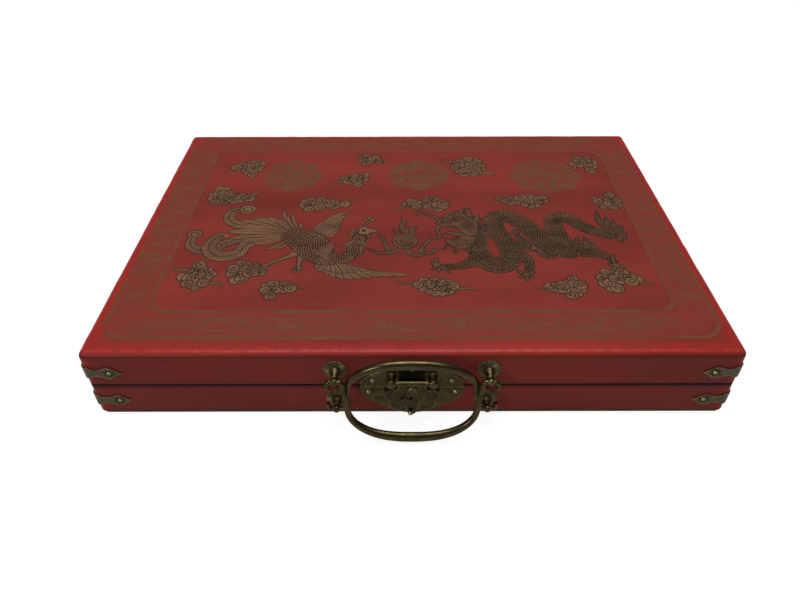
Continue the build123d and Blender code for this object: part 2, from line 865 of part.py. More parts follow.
def hinge_half(x, direction, knuckles, nails):
    """One leaf: a plate on the rear face, and its own knuckles round the pin."""
    clear = hinge_barrel + hinge_face_gap
    with BuildPart() as leaf:
        with BuildSketch(back()):
            with Locations((-x, hinge_level + direction * (hinge_leaf_height + clear) / 2)):
                Rectangle(hinge_length, hinge_leaf_height - clear)
        extrude(amount=hinge_leaf)
        corners = leaf.edges().filter_by(Axis.Y).group_by(Axis.Z)[-1 if direction > 0 else 0]
        fillet(corners, hinge_leaf_corner)
        for number in knuckles:
            middle = x - hinge_length / 2 + (number + 0.5) * knuckle_pitch
            width = knuckle_pitch - hinge_knuckle_gap
            with BuildSketch(back()) as tab:
                with Locations((-middle, hinge_level + direction * clear / 2)):
                    Rectangle(width, clear)
            extrude(tab.sketch, amount=hinge_leaf)
            with BuildSketch(Plane.YZ.offset(middle - width / 2)) as roll:
                with Locations(hinge_axis):
                    Circle(hinge_barrel)
            extrude(roll.sketch, amount=width)
            with BuildSketch(Plane.YZ.offset(middle - width / 2)) as bore:
                with Locations(hinge_axis):
                    Circle(hinge_pin_radius + hinge_pin_gap)
            extrude(bore.sketch, amount=width, mode=Mode.SUBTRACT)
        drill(back(hinge_leaf), nails, nail_hole, 2 * hinge_leaf)
    return leaf.part


for sign, hand in ((-1, "left"), (1, "right")):
    x = sign * hinge_at
    near = [-x + step * hinge_nail_pitch for step in (-1, 0, 1)]
    lower = hinge_half(x, -1, (0, 2, 4), [(spot, lower_hinge_nail_level) for spot in near])
    upper = hinge_half(x, 1, (1, 3), [(spot, upper_hinge_nail_level) for spot in near])
    keep(lower, f"hinge_lower_leaf_{hand}")
    keep(upper, f"hinge_upper_leaf_{hand}")
    with BuildPart() as hinge_pin:
        with BuildSketch(Plane.YZ.offset(x - hinge_length / 2)):
            with Locations(hinge_axis):
                Circle(hinge_pin_radius)
        extrude(amount=hinge_length)
    keep(hinge_pin.part, f"hinge_pin_{hand}")
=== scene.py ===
# %% [markdown]
# # A mahjong case in red leatherette
# The case is two shallow trays that close on each other, a split oval latch and two drop handles.
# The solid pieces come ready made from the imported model. This lesson gives them their finishes,
# replaces the two leatherette skins by softer ones, and prints the lid.
# Everything is in metres; small sizes are written in millimetres and multiplied by MM.

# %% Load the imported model
import math
import random
import bpy
import bmesh
from mathutils import Matrix, Vector, geometry, noise


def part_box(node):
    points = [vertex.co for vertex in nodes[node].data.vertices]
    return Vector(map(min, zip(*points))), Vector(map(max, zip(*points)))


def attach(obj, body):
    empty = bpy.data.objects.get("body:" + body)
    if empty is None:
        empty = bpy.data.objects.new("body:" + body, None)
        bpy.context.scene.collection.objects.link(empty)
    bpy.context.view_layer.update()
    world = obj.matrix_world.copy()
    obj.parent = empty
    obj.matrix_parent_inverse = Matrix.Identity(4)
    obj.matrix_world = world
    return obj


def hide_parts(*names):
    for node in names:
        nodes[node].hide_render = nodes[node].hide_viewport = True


MM = 0.001
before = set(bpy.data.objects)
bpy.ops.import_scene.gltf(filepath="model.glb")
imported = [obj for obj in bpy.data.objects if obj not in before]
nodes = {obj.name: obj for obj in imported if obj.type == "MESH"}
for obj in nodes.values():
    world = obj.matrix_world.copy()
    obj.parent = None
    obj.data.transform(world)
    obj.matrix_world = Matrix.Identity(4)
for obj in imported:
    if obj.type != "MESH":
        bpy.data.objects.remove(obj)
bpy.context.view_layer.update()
print("pieces from the model:", len(nodes))

# %% [markdown]
# ## Where the viewer stands
# The lens is a little wide and looks down on the case at about forty degrees, from the middle of
# its front. A camera looks along its own -Z, so tilting it up by 90 degrees less the pitch aims it.

# %% Camera
camera_place = Vector((-6.55, -389.64, 303.43)) * MM
camera_pitch = 40.08
camera_yaw = 0.05
camera_roll = -0.14
sensor_width = 36.0
focal_length = 29.14
nearest_seen = 0.01


def put(name, data):
    """Add an object to the scene."""
    thing = bpy.data.objects.new(name, data)
    bpy.context.scene.collection.objects.link(thing)
    return thing


camera_data = bpy.data.cameras.new("viewer")
camera_data.sensor_width = sensor_width
camera_data.lens = focal_length
camera_data.clip_start = nearest_seen
camera = put("viewer", camera_data)
aim = Matrix.Rotation(math.radians(camera_yaw), 4, "Z")
aim = aim @ Matrix.Rotation(math.radians(90 - camera_pitch), 4, "X")
aim = aim @ Matrix.Rotation(math.radians(camera_roll), 4, "Z")
camera.matrix_world = Matrix.Translation(camera_place) @ aim
bpy.context.scene.camera = camera
print("camera", [round(v, 3) for v in camera.location])

# %% [markdown]
# ## Helpers for materials
# Colours are written as the hex values of a paint chart, which are gamma coded, so one function
# turns them to the linear values that shaders want. A second function adds a node with its settings
# and links, and serves shader trees and geometry trees alike. The others are the few nodes that
# every finish is made of, and each gives back the socket to go on from.

# %% Colour and node helpers


def colour(code):
    """A hex colour as linear red, green, blue and alpha."""
    parts = [int(code[i : i + 2], 16) / 255 for i in (1, 3, 5)]
    return [c / 12.92 if c <= 0.04045 else ((c + 0.055) / 1.055) ** 2.4 for c in parts] + [1.0]


def add(tree, kind, inputs=None, **settings):
    """Add a node. Settings are its properties; each input is a value or another node's output."""
    node = tree.nodes.new(kind)
    for key, value in settings.items():
        setattr(node, key, value)
    for key, value in (inputs or {}).items():
        socket = node.inputs[key]
        if isinstance(value, bpy.types.NodeSocket):
            tree.links.new(value, socket)
        else:
            socket.default_value = value
    return node


def new_material(name):
    """An empty node material, its tree, and the place on the object in metres."""
    material = bpy.data.materials.new(name)
    material.use_nodes = True
    tree = material.node_tree
    tree.nodes.clear()
    return material, tree, add(tree, "ShaderNodeTexCoord").outputs["Object"]


def ramp(tree, factor, *stops):
    """A colour ramp through (position, hex) stops."""
    node = add(tree, "ShaderNodeValToRGB", {"Fac": factor})
    while len(node.color_ramp.elements) < len(stops):
        node.color_ramp.elements.new(0.5)
    for element, (position, code) in zip(node.color_ramp.elements, stops):
        element.position = position
        element.color = colour(code)
    return node.outputs["Color"]


def maths(tree, operation, *values):
    """The result of a maths node."""
    return add(tree, "ShaderNodeMath", dict(enumerate(values)), operation=operation).outputs[0]


def remap(tree, value, start=0.0, end=1.0, low=0.0, high=1.0):
    """A value moved from the range start to end into the range low to high, and kept there."""
    ends = {"Value": value, "From Min": start, "From Max": end, "To Min": low, "To Max": high}
    return add(tree, "ShaderNodeMapRange", ends).outputs[0]


def blend(tree, factor, first, second):
    """A mix of two colours."""
    shares = {"Factor": factor, 6: first, 7: second}
    return add(tree, "ShaderNodeMix", shares, data_type="RGBA").outputs[2]


def speckle(tree, place, size, detail=2.0, roughness=0.5, distortion=0.0):
    """Noise with patches of about a size."""
    inputs = {"Vector": place, "Scale": 1 / size, "Detail": detail, "Roughness": roughness}
    inputs["Distortion"] = distortion
    return add(tree, "ShaderNodeTexNoise", inputs).outputs["Fac"]


def painted_on(tree, label):
    """A value that the mesh carries at its points."""
    return add(tree, "ShaderNodeAttribute", attribute_name=label).outputs["Fac"]


def bumped(tree, height, strength, depth, under=None):
    """A normal that follows a height, over another normal where one is given."""
    inputs = {"Height": height, "Strength": strength, "Distance": depth}
    if under is not None:
        inputs["Normal"] = under
    return add(tree, "ShaderNodeBump", inputs).outputs[0]


def surface(tree, inputs):
    """Close a finish with its shader."""
    shader = add(tree, "ShaderNodeBsdfPrincipled", inputs)
    add(tree, "ShaderNodeOutputMaterial", {"Surface": shader.outputs[0]})


# %% [markdown]
# ## The table and the light
# The case lies on a seamless white table. A Light Path node tells who looks. To the camera the
# table and the room are plain white. Polished metal mirrors a greyer table and a room that is
# bright overhead. Other rays meet a duller white, so the table keeps a soft shadow and throws only
# a little light back on the front of the case.

# %% Stage
table_size = 6.0
table_gap = 0.02 * MM
table_white = 0.88
mirror_white = 0.35
bounce_white = "#8C8C8C"


def white_table():
    material, tree, _ = new_material("white_table")
    path = add(tree, "ShaderNodeLightPath").outputs
    seen = maths(tree, "MAXIMUM", path["Is Camera Ray"], path["Is Glossy Ray"])
    white = remap(tree, path["Is Glossy Ray"], low=table_white, high=mirror_white)
    lit = add(tree, "ShaderNodeBsdfDiffuse", {"Color": colour(bounce_white)}).outputs[0]
    glow = add(tree, "ShaderNodeEmission", {"Strength": white}).outputs[0]
    pale = add(tree, "ShaderNodeAddShader", {0: lit, 1: glow}).outputs[0]
    both = add(tree, "ShaderNodeMixShader", {"Fac": seen, 1: lit, 2: pale}).outputs[0]
    add(tree, "ShaderNodeOutputMaterial", {"Surface": both})
    return material


half = table_size / 2
table_mesh = bpy.data.meshes.new("table")
table_corners = [(-half, -half), (half, -half), (half, half), (-half, half)]
table_mesh.from_pydata([(x, y, -table_gap) for x, y in table_corners], [], [(0, 1, 2, 3)])
table_mesh.materials.append(white_table())
table = put("table", table_mesh)
print("table", table_size, "m square")

# %% World and lamps
room_light = 0.36
ceiling_mirrored = 1.3


def white_room():
    world = bpy.data.worlds.new("white_room")
    world.use_nodes = True
    tree = world.node_tree
    tree.nodes.clear()
    path = add(tree, "ShaderNodeLightPath").outputs
    towards = add(tree, "ShaderNodeTexCoord").outputs["Generated"]
    height = add(tree, "ShaderNodeSeparateXYZ", {"Vector": towards}).outputs["Z"]
    greys = (0.0, "#A0A0A0"), (0.25, "#686868"), (0.72, "#606060"), (0.93, "#FFFFFF")
    ceiling = maths(tree, "MULTIPLY", ramp(tree, height, *greys), ceiling_mirrored)
    mirrored = remap(tree, path["Is Glossy Ray"], low=room_light, high=ceiling)
    strength = remap(tree, path["Is Camera Ray"], low=mirrored, high=1.0)
    inputs = {"Color": colour("#FFFFFF"), "Strength": strength}
    back = add(tree, "ShaderNodeBackground", inputs).outputs[0]
    add(tree, "ShaderNodeOutputWorld", {"Surface": back})
    bpy.context.scene.world = world


def softbox(name, place, target, size, power):
    """A square lamp that faces a point."""
    lamp = bpy.data.lights.new(name, "AREA")
    lamp.shape = "SQUARE"
    lamp.size = size
    lamp.energy = power
    box = put(name, lamp)
    box.location = place
    box.rotation_mode = "QUATERNION"
    box.rotation_quaternion = (Vector(target) - Vector(place)).to_track_quat("-Z", "Y")


white_room()
softbox("overhead_softbox", (0.0, 0.10, 1.30), (0, 0, 0), 0.9, 10.5)
softbox("front_softbox", (-0.8, -1.1, 0.65), (0, 0, 0.02), 0.35, 4.0)
bpy.context.scene.view_settings.view_transform = "Standard"
print("a white room and two softboxes")

# %% [markdown]
# ## Finishes
# Bonded leatherette is a paper or cloth faced with PVC, rolled with a grain and lacquered. It gives
# the eye a satin red with darker clouds in it, fine crazing where the lacquer has aged, and shinier,
# brighter red where hands have rubbed the folded edges. A skin tells by its "rub" where it is
# rubbed, above zero, which on the upper half of the lid's fold also paints in a highlight, and where
# shade is painted in, below zero: in the seam between the trays, along the foot and in a band under
# the lid's fold. The inks wear with the leatherette, so they share its finish.

# %% Leatherette
crazing_cell = 1.1 * MM
grain_size = 0.35 * MM
cloud_size = 45.0 * MM
scuff_size = 7.0 * MM
cloud_streak = (0.35, 1.0, 1.0)
rubbed_and_highlight_red = "#A91A14"
painted_shade_brown = "#160706"
grain_depth = 0.04 * MM
scuff_depth = 0.12 * MM


def leatherette(name, deep, middle, bright, patch=cloud_size):
    material, tree, place = new_material(name)
    streaks = {0: place, 1: cloud_streak}
    drawn = add(tree, "ShaderNodeVectorMath", streaks, operation="MULTIPLY").outputs[0]
    clouds = speckle(tree, drawn, patch, 4.0, 0.55)
    tone = ramp(tree, clouds, (0.30, deep), (0.52, middle), (0.74, bright))
    scuffs = speckle(tree, place, scuff_size, 6.0, 0.7)
    # Above zero: rubbed brighter red, which is also the painted highlight on the lid's fold; below
    # zero: painted shade.
    wear_and_painted_light = painted_on(tree, "wear_and_painted_light")
    rubbed = maths(tree, "MULTIPLY", wear_and_painted_light, scuffs)
    wear_and_light = remap(tree, rubbed, 0.10, 0.60, high=0.8)
    # Painted shade: below zero the skin darkens towards a near-black brown.
    painted_shade = remap(tree, wear_and_painted_light, 0.0, -0.9, high=0.93)
    skin = blend(tree, wear_and_light, tone, colour(rubbed_and_highlight_red))
    cells = {"Vector": place, "Scale": 1 / crazing_cell}
    crazing = add(tree, "ShaderNodeTexVoronoi", cells, feature="DISTANCE_TO_EDGE")
    cracks = remap(tree, crazing.outputs["Distance"], end=0.10)
    relief = maths(tree, "MULTIPLY_ADD", cracks, 0.6, speckle(tree, place, grain_size))
    grain = bumped(tree, relief, 0.35, grain_depth)
    inputs = {
        "Base Color": blend(tree, painted_shade, skin, colour(painted_shade_brown)),
        "Roughness": remap(tree, wear_and_light, low=0.46, high=0.36),
        "Specular IOR Level": remap(tree, rubbed, 0.42, 0.70, 0.18, 0.34),
        "Normal": bumped(tree, scuffs, 0.5, scuff_depth, grain),
    }
    surface(tree, inputs)
    return material


red_leatherette = leatherette("red_leatherette", "#6C2119", "#7C2A20", "#872D22")
black_leatherette = leatherette("black_leatherette", "#0E0C0C", "#141111", "#1C1817")
pale_ink = leatherette("pale_ink", "#68462F", "#755138", "#805B42", scuff_size)
sepia_ink = leatherette("sepia_ink", "#51341F", "#624029", "#6E4A30", scuff_size)
dark_ink = leatherette("dark_ink", "#241A10", "#2C2015", "#38291A", scuff_size)
faded_ink = leatherette("faded_ink", "#772A1F", "#6C3A26", "#6E442B", scuff_size)
medallion_ink = leatherette("medallion_ink", "#6C3023", "#643E28", "#66472E", scuff_size)
border_stain = leatherette("border_stain", "#7E2B1F", "#7A2E22", "#6F3626", 2 * scuff_size)
print("two leatherettes and six inks")

# %% [markdown]
# Antique brass is yellow brass that was blackened in a bath and then rubbed back. The dips keep the
# dark green-brown patina and the edges show the metal, so the finish follows the form: a Bevel node
# finds the edges, an Ambient Occlusion node finds the dips, and noise breaks both up. The occlusion
# also darkens the gaps between parts, so it is painted shade as well as patina. A turned piece tells
# by its "grime" where its flutes are deep.

# %% Brass
patina_size = 4.0 * MM
pit_size = 0.5 * MM
pit_depth = 0.03 * MM
worn_edge = 0.6 * MM
dip_reach = 1.5 * MM
patina_and_shade_brown = "#17130C"


def brass(name, dark, middle, bare, rubbed=1.0, gloss=0.0):
    material, tree, place = new_material(name)
    patina = speckle(tree, place, patina_size, 5.0, 0.65)
    tone = ramp(tree, patina, (0.32, dark), (0.66, middle))
    rounded = add(tree, "ShaderNodeBevel", {"Radius": worn_edge}, samples=4).outputs[0]
    normals = {0: rounded, 1: add(tree, "ShaderNodeNewGeometry").outputs["Normal"]}
    facing = add(tree, "ShaderNodeVectorMath", normals, operation="DOT_PRODUCT").outputs["Value"]
    edge = remap(tree, facing, 0.99, 0.85, high=rubbed)
    patchy = remap(tree, patina, 0.3, 0.6, low=0.4)
    metal = blend(tree, maths(tree, "MULTIPLY", edge, patchy), tone, colour(bare))
    clean = remap(tree, painted_on(tree, "grime"), 0.15, 0.7, 1.0, 0.1)
    # Painted shade over the patina: occlusion darkens dips and the gaps between parts towards
    # near-black brown.
    dips = add(tree, "ShaderNodeAmbientOcclusion", {"Distance": dip_reach}, samples=4)
    shade = remap(tree, dips.outputs["AO"], 0.1, 0.9, low=0.62)
    lit_and_clean = maths(tree, "MULTIPLY", shade, clean)
    inputs = {
        "Base Color": blend(tree, lit_and_clean, colour(patina_and_shade_brown), metal),
        "Metallic": 1.0,
        "Roughness": remap(tree, patina, 0.3, 0.7, 0.46 - gloss, 0.32 - gloss),
        "Normal": bumped(tree, speckle(tree, place, pit_size, 3.0), 0.3, pit_depth),
    }
    surface(tree, inputs)
    return material


antique_brass = brass("antique_brass", "#3A3520", "#5F5436", "#BCAA7C")
handle_brass = brass("handle_brass", "#3C3621", "#584E33", "#B0A072", 0.8, 0.16)
strap_brass = brass("strap_brass", "#474231", "#665E47", "#C8BA92")
rosette_brass = brass("rosette_brass", "#4E462C", "#756840", "#C8BA92")
stamped_brass = brass("stamped_brass", "#14110A", "#1C180E", "#2A2416", 0.5)
pin_brass = brass("pin_brass", "#5A4F33", "#8A7B54", "#BBAA7C")
nail_brass = brass("nail_brass", "#8A7C52", "#B3A470", "#DDD0A2", 0.6, 0.12)
print("seven tones of brass")

# %% [markdown]
# Felt is matted wool: no threads, only short fibres that lie every way, and a faint pale bloom at a
# grazing look, which the sheen of the shader gives. The wood of the walls shows nowhere outside
# but at the edge of the foot.

# %% Felt and wood
fibre_size = 0.5 * MM
fibre_depth = 0.15 * MM
plush_size = 9.0 * MM
growth_ring = 2.5 * MM
along_the_grain = (0.08, 1.0, 1.0)


def felt(name, deep, pale):
    material, tree, place = new_material(name)
    fibres = speckle(tree, place, fibre_size, 4.0, distortion=1.5)
    mixed = maths(tree, "MULTIPLY_ADD", fibres, 0.5, speckle(tree, place, plush_size))
    inputs = {
        "Base Color": ramp(tree, mixed, (0.55, deep), (0.95, pale)),
        "Roughness": 0.9,
        "Sheen Weight": 0.5,
        "Sheen Tint": colour("#C08078"),
        "Normal": bumped(tree, fibres, 0.6, fibre_depth),
    }
    surface(tree, inputs)
    return material


def limewood(name):
    material, tree, place = new_material(name)
    stretch = {"Vector": place, "Scale": along_the_grain}
    long_way = add(tree, "ShaderNodeMapping", stretch).outputs[0]
    rings = speckle(tree, long_way, growth_ring, 5.0)
    tone = ramp(tree, rings, (0.35, "#A98557"), (0.65, "#C7A677"))
    surface(tree, {"Base Color": tone, "Roughness": 0.6})
    return material


red_felt = felt("red_felt", "#350A0C", "#551216")
wall_wood = limewood("wall_wood")

# %% Finish of each piece from the model
finish_by_word = (
    ("nails", nail_brass),
    ("knob", nail_brass),
    ("lining", red_felt),
    ("underside", black_leatherette),
    ("cover", red_leatherette),
    ("panel", wall_wood),
    ("wall", wall_wood),
    ("hasp_pin", pin_brass),
    ("strap", strap_brass),
)


def finish_of(name):
    """The finish that belongs to a piece, told by the first word that its name holds."""
    if name.endswith("_bail"):
        return handle_brass
    return next((finish for word, finish in finish_by_word if word in name), antique_brass)


for name, node in nodes.items():
    node.data.materials.clear()
    node.data.materials.append(finish_of(name))
print("finishes given to", len(nodes), "pieces")

# %% [markdown]
# ## The two skins
# A covering of leatherette is glued over the box and folded round its edges, so its surface is
# never as true as the wood below: it dips and rolls a little along each fold. Each skin is drawn
# as one profile, from inside the rim, round the outside, to the middle of its tray. Every point of
# the profile becomes a ring round the case, and a noise field sinks the rings near the folds.

# %% Sizes of the skins
lid_low, lid_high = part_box("lid_cover")
half_width = lid_high[0] / MM
half_depth = lid_high[1] / MM
lid_top = lid_high[2] / MM
lid_rim = lid_low[2] / MM
base_low, base_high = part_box("base_cover")
base_foot = base_low[2] / MM
base_rim = base_high[2] / MM
lid_lining_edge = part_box("lid_lining")[0][2] / MM
base_lining_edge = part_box("base_lining")[1][2] / MM
corner_radius = 4.0
top_radius = 4.0
foot_radius = 1.8
wall_inset = 5.8
skin_thickness = 0.7
rim_round = 0.45
side_steps = 90
corner_steps = 6
dent_size = 12.0
dent_depth = 0.30
corner_rub = 0.6
corner_rub_inset = 2.0

# %% How a skin is made


def ring(inset, level):
    """Points round the case at one level, so far in from its outline, anticlockwise from above."""
    radius = max(corner_radius - inset, 0.4)
    across = half_width - inset - radius
    along = half_depth - inset - radius
    arcs = []
    for x, y, start in (
        (across, -along, -90),
        (across, along, 0),
        (-across, along, 90),
        (-across, -along, 180),
    ):
        turns = [math.radians(start + 90 * step / corner_steps) for step in range(corner_steps + 1)]
        arcs.append(
            [Vector((x + radius * math.cos(t), y + radius * math.sin(t), level)) for t in turns]
        )
    points = []
    for arc, following in zip(arcs, arcs[1:] + arcs[:1]):
        points += arc
        points += [arc[-1].lerp(following[0], step / side_steps) for step in range(1, side_steps)]
    return points


def fold(inset, level, radius, last, wear_and_light_steps):
    """Quarter-fold stations of (inset, level, wear and light, dent), most dented half way round."""
    stations = []
    for step, wear_and_light in enumerate(wear_and_light_steps):
        share = step / (len(wear_and_light_steps) - 1)
        turn = math.radians(last * share)
        soft = 0.6 + 0.4 * math.sin(math.pi * share)
        spot = (inset - radius * math.cos(turn), level + radius * math.sin(turn))
        stations.append((*spot, wear_and_light, soft))
    return stations


def from_sheet(name, sheet, finish):
    """A smooth piece from a bmesh."""
    for face in sheet.faces:
        face.smooth = True
    mesh = bpy.data.meshes.new(name)
    sheet.to_mesh(mesh)
    sheet.free()
    mesh.materials.append(finish)
    return put(name, mesh)


def skin(name, profile, upward):
    """One covering from its profile. The one that faces upward is closed in the middle."""
    sheet = bmesh.new()
    wear_and_painted_light = sheet.verts.layers.float.new("wear_and_painted_light")
    rings = []
    for i, (inset, level, wear_and_light, soft) in enumerate(profile):
        before = Vector(profile[max(i - 1, 0)][:2])
        after = Vector(profile[min(i + 1, len(profile) - 1)][:2])
        along = (after - before).normalized()
        inward = Vector((along.y, -along.x)) * (1 if upward else -1)
        outer = ring(inset, level)
        inner = ring(inset + inward.x, level + inward.y)
        verts = []
        for point, sunk in zip(outer, inner):
            field = 0.5 + 0.5 * noise.fractal(point / dent_size, 0.6, 2.1, 3)
            vert = sheet.verts.new(point.lerp(sunk, dent_depth * soft * min(max(field, 0), 1)) * MM)
            at_corner = len(verts) % (corner_steps + side_steps) <= corner_steps
            knocked = at_corner and inset < corner_rub_inset and wear_and_light >= 0
            vert[wear_and_painted_light] = max(wear_and_light, corner_rub) if knocked else wear_and_light
            verts.append(vert)
        rings.append(verts)
    for lower, upper in zip(rings, rings[1:]):
        for i in range(len(lower)):
            j = (i + 1) % len(lower)
            sheet.faces.new((lower[i], lower[j], upper[j], upper[i]))
    if upward:
        sheet.faces.new(rings[-1])
    else:
        bmesh.ops.reverse_faces(sheet, faces=sheet.faces[:])
    piece = from_sheet(name, sheet, red_leatherette)
    thicken = piece.modifiers.new("thickness", "SOLIDIFY")
    thicken.thickness = skin_thickness * MM
    thicken.offset = -1.0
    return piece


# %% Lid's skin and base's skin
# Each station is (inset, level, rub, dent): rub is above zero where the skin is rubbed bright, which
# on the upper half of the lid's fold is also a painted highlight, and below zero where shade is
# painted in, and dent is the share of the dents that it takes.
lip_inset = wall_inset + 0.5
lid_profile = [
    (lip_inset, lid_lining_edge - 0.1, 0.0, 0.0),
    (lip_inset, lid_rim + 2 * rim_round, 0.0, 0.0),
    (wall_inset, lid_rim, 0.3, 0.0),
    # Painted shade: the lid's rim darkens into the seam between the trays.
    (rim_round, lid_rim, -0.8, 0.0),
    (0.13, lid_rim + 0.13, -0.9, 0.0),
    (0.0, lid_rim + rim_round, -0.5, 0.2),
]
lid_fold = lid_top - top_radius
for share in (0.08, 0.25, 0.45, 0.65, 0.85):
    lid_profile.append((0.0, lid_rim + rim_round + share * (lid_fold - lid_rim), 0.05, 0.5))
# Up the lid's fold: painted shade low down, then a brighter red that is wear and a painted highlight.
lid_fold_wear_and_light = (0.0, -0.25, -0.35, -0.15, 0.5, 1.0, 1.1, 1.0, 0.85)
lid_profile += fold(top_radius, lid_fold, top_radius, 90, lid_fold_wear_and_light)
lid_profile += [
    (4.6, lid_top, 0.85, 0.5),
    (5.4, lid_top, 0.8, 0.35),
    (6.4, lid_top, 0.7, 0.15),
    (7.6, lid_top, 0.6, 0.0),
    (10.0, lid_top, 0.4, 0.0),
    (16.0, lid_top, 0.0, 0.0),
]
lid_leather = skin("lid_leather", lid_profile, upward=True)
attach(lid_leather, "lid")
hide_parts("lid_cover")

base_profile = [
    (lip_inset, base_lining_edge + 0.1, 0.0, 0.0),
    (lip_inset, base_rim - 2 * rim_round, 0.0, 0.0),
    (wall_inset, base_rim, 0.3, 0.0),
    # Painted shade: the base's rim darkens into the seam between the trays.
    (1.5, base_rim, -0.6, 0.0),
    (rim_round, base_rim, -1.0, 0.0),
    (0.13, base_rim - 0.13, -1.0, 0.0),
    (0.0, base_rim - rim_round, -0.7, 0.2),
]
for share in (0.92, 0.75, 0.55, 0.35, 0.15):
    base_profile.append((0.0, base_foot + foot_radius + share * 20.0, 0.05, 0.5))
# Painted shade: the wall darkens into a dark line along its foot.
base_profile += [
    (0.0, base_foot + foot_radius + 1.0, 0.0, 0.3),
    (0.0, base_foot + foot_radius + 0.5, -0.85, 0.0),
]
foot_painted_shade = (-1.0, -1.0, -1.0, -1.0, -1.0)
base_profile += fold(foot_radius, base_foot + foot_radius, foot_radius, -90, foot_painted_shade)
base_leather = skin("base_leather", base_profile, upward=False)
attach(base_leather, "base")
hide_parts("base_cover")
print("skins:", len(lid_leather.data.polygons), "and", len(base_leather.data.polygons), "faces")

# %% [markdown]
# ## Tools for the print
# The lid is screen printed in two inks, a sepia tint with dark lines over it. A picture is painted
# in order: each filled outline hides the lines that it covers. When it is pressed, the shapes of
# one ink are joined by a Delaunay triangulation, so they become one clean film with no overlaps.
# Curves run through a few given points (Catmull-Rom), in millimetres on the lid.

# %% Levels and pens
print_shift = Vector((0.5, -2.0, 0.0))
ink_foot = 0.05
border_level = 0.01
cloud_level = 0.035
pearl_level = 0.055
beast_level = 0.07
line_lift = 0.01
stamp_lift = 0.014
least_tint = 1e-3
least_stroke = 1e-4
least_half = 1e-5
weld = 1e-4
pen = 0.4
thinnest_edge = 0.1
edge_share = 0.35
disc_steps = 18

# %% Curves and outlines


def smooth(points, closed=False, steps=5):
    """A curve through points. A third value, where there is one, is a half width."""
    knots = [Vector(point) for point in points]
    count = len(knots)
    curve = []
    for i in range(count if closed else count - 1):
        places = [j % count if closed else min(max(j, 0), count - 1) for j in range(i - 1, i + 3)]
        before, start, end, after = [knots[j] for j in places]
        for step in range(steps):
            t = step / steps
            curve.append(
                start
                + (end - before) * t / 2
                + (2 * before - 5 * start + 4 * end - after) * t * t / 2
                + (3 * start - before - 3 * end + after) * t**3 / 2
            )
    if not closed:
        curve.append(knots[-1])
    return curve


def sides(curve, closed=False):
    """The left and right edges of a band, from a curve of (x, y, half width)."""
    last = len(curve) - 1
    left = []
    right = []
    for i, point in enumerate(curve):
        ahead = curve[(i + 1) % len(curve) if closed else min(i + 1, last)]
        behind = curve[i - 1 if closed else max(i - 1, 0)]
        along = (ahead - behind).xy
        across = Vector((-along.y, along.x)).normalized() * point.z
        left.append(point.xy + across)
        right.append(point.xy - across)
    return left, right


def area(outline):
    """Twice the area inside an outline, positive where it runs anticlockwise."""
    return sum(a.cross(b) for a, b in zip(outline, outline[1:] + outline[:1]))


def inside(point, outline):
    """Whether a point lies in an outline, by counting the edges to its right."""
    odd = False
    for a, b in zip(outline, outline[1:] + outline[:1]):
        if (a.y > point.y) != (b.y > point.y):
            if point.x < a.x + (point.y - a.y) * (b.x - a.x) / (b.y - a.y):
                odd = not odd
    return odd


def whole_parts(face):
    """The face, anticlockwise; a four-sided one that isn't convex is split, as it may cross itself."""
    if len(face) == 4:
        halves = [[face[0], face[1], face[2]], [face[0], face[2], face[3]]]
        areas = [area(half) for half in halves]
        if min(abs(a) for a in areas) < least_half or areas[0] * areas[1] < 0:
            kept = [half for half, a in zip(halves, areas) if abs(a) > least_half]
            return [half if area(half) > 0 else half[::-1] for half in kept]
    return [face if area(face) > 0 else face[::-1]]


# %% Films of ink


def film(name, faces, ink, foot, height):
    """Join flat faces and give them a thickness: a closed film of ink."""
    corners = []
    loops = []
    parts = [part for face in faces for part in whole_parts(face)]
    for part in parts:
        loops.append(list(range(len(corners), len(corners) + len(part))))
        corners += part
    spots, _, joined, _, _, origins = geometry.delaunay_2d_cdt(corners, [], loops, 1, weld, True)
    kept = []
    for face, origin in zip(joined, origins):
        middle = sum((spots[i] for i in face), Vector((0, 0))) / len(face)
        if any(inside(middle, parts[i]) for i in origin):
            kept.append(face)
    used = sorted({i for face in kept for i in face})
    place = {old: new for new, old in enumerate(used)}
    count = len(used)
    verts = [Vector((*spots[i], level)) for level in (height, -foot) for i in used]
    top = [[place[i] for i in face] for face in kept]
    polygons = top + [[i + count for i in reversed(face)] for face in top]
    edges = {(a, b) for face in top for a, b in zip(face, face[1:] + face[:1])}
    polygons += [(b, a, a + count, b + count) for a, b in edges if (b, a) not in edges]
    mesh = bpy.data.meshes.new(name)
    mesh.from_pydata([v * MM for v in verts], [], polygons)
    mesh.materials.append(ink)
    mesh.update()
    return put(name, mesh)


def lay_on_lid(piece):
    """Put a film on the lid's face and let it ride with the lid."""
    shift = (print_shift + Vector((0, 0, lid_top))) * MM
    piece.data.transform(Matrix.Translation(shift))
    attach(piece, "lid")
    return piece


# %% Pictures


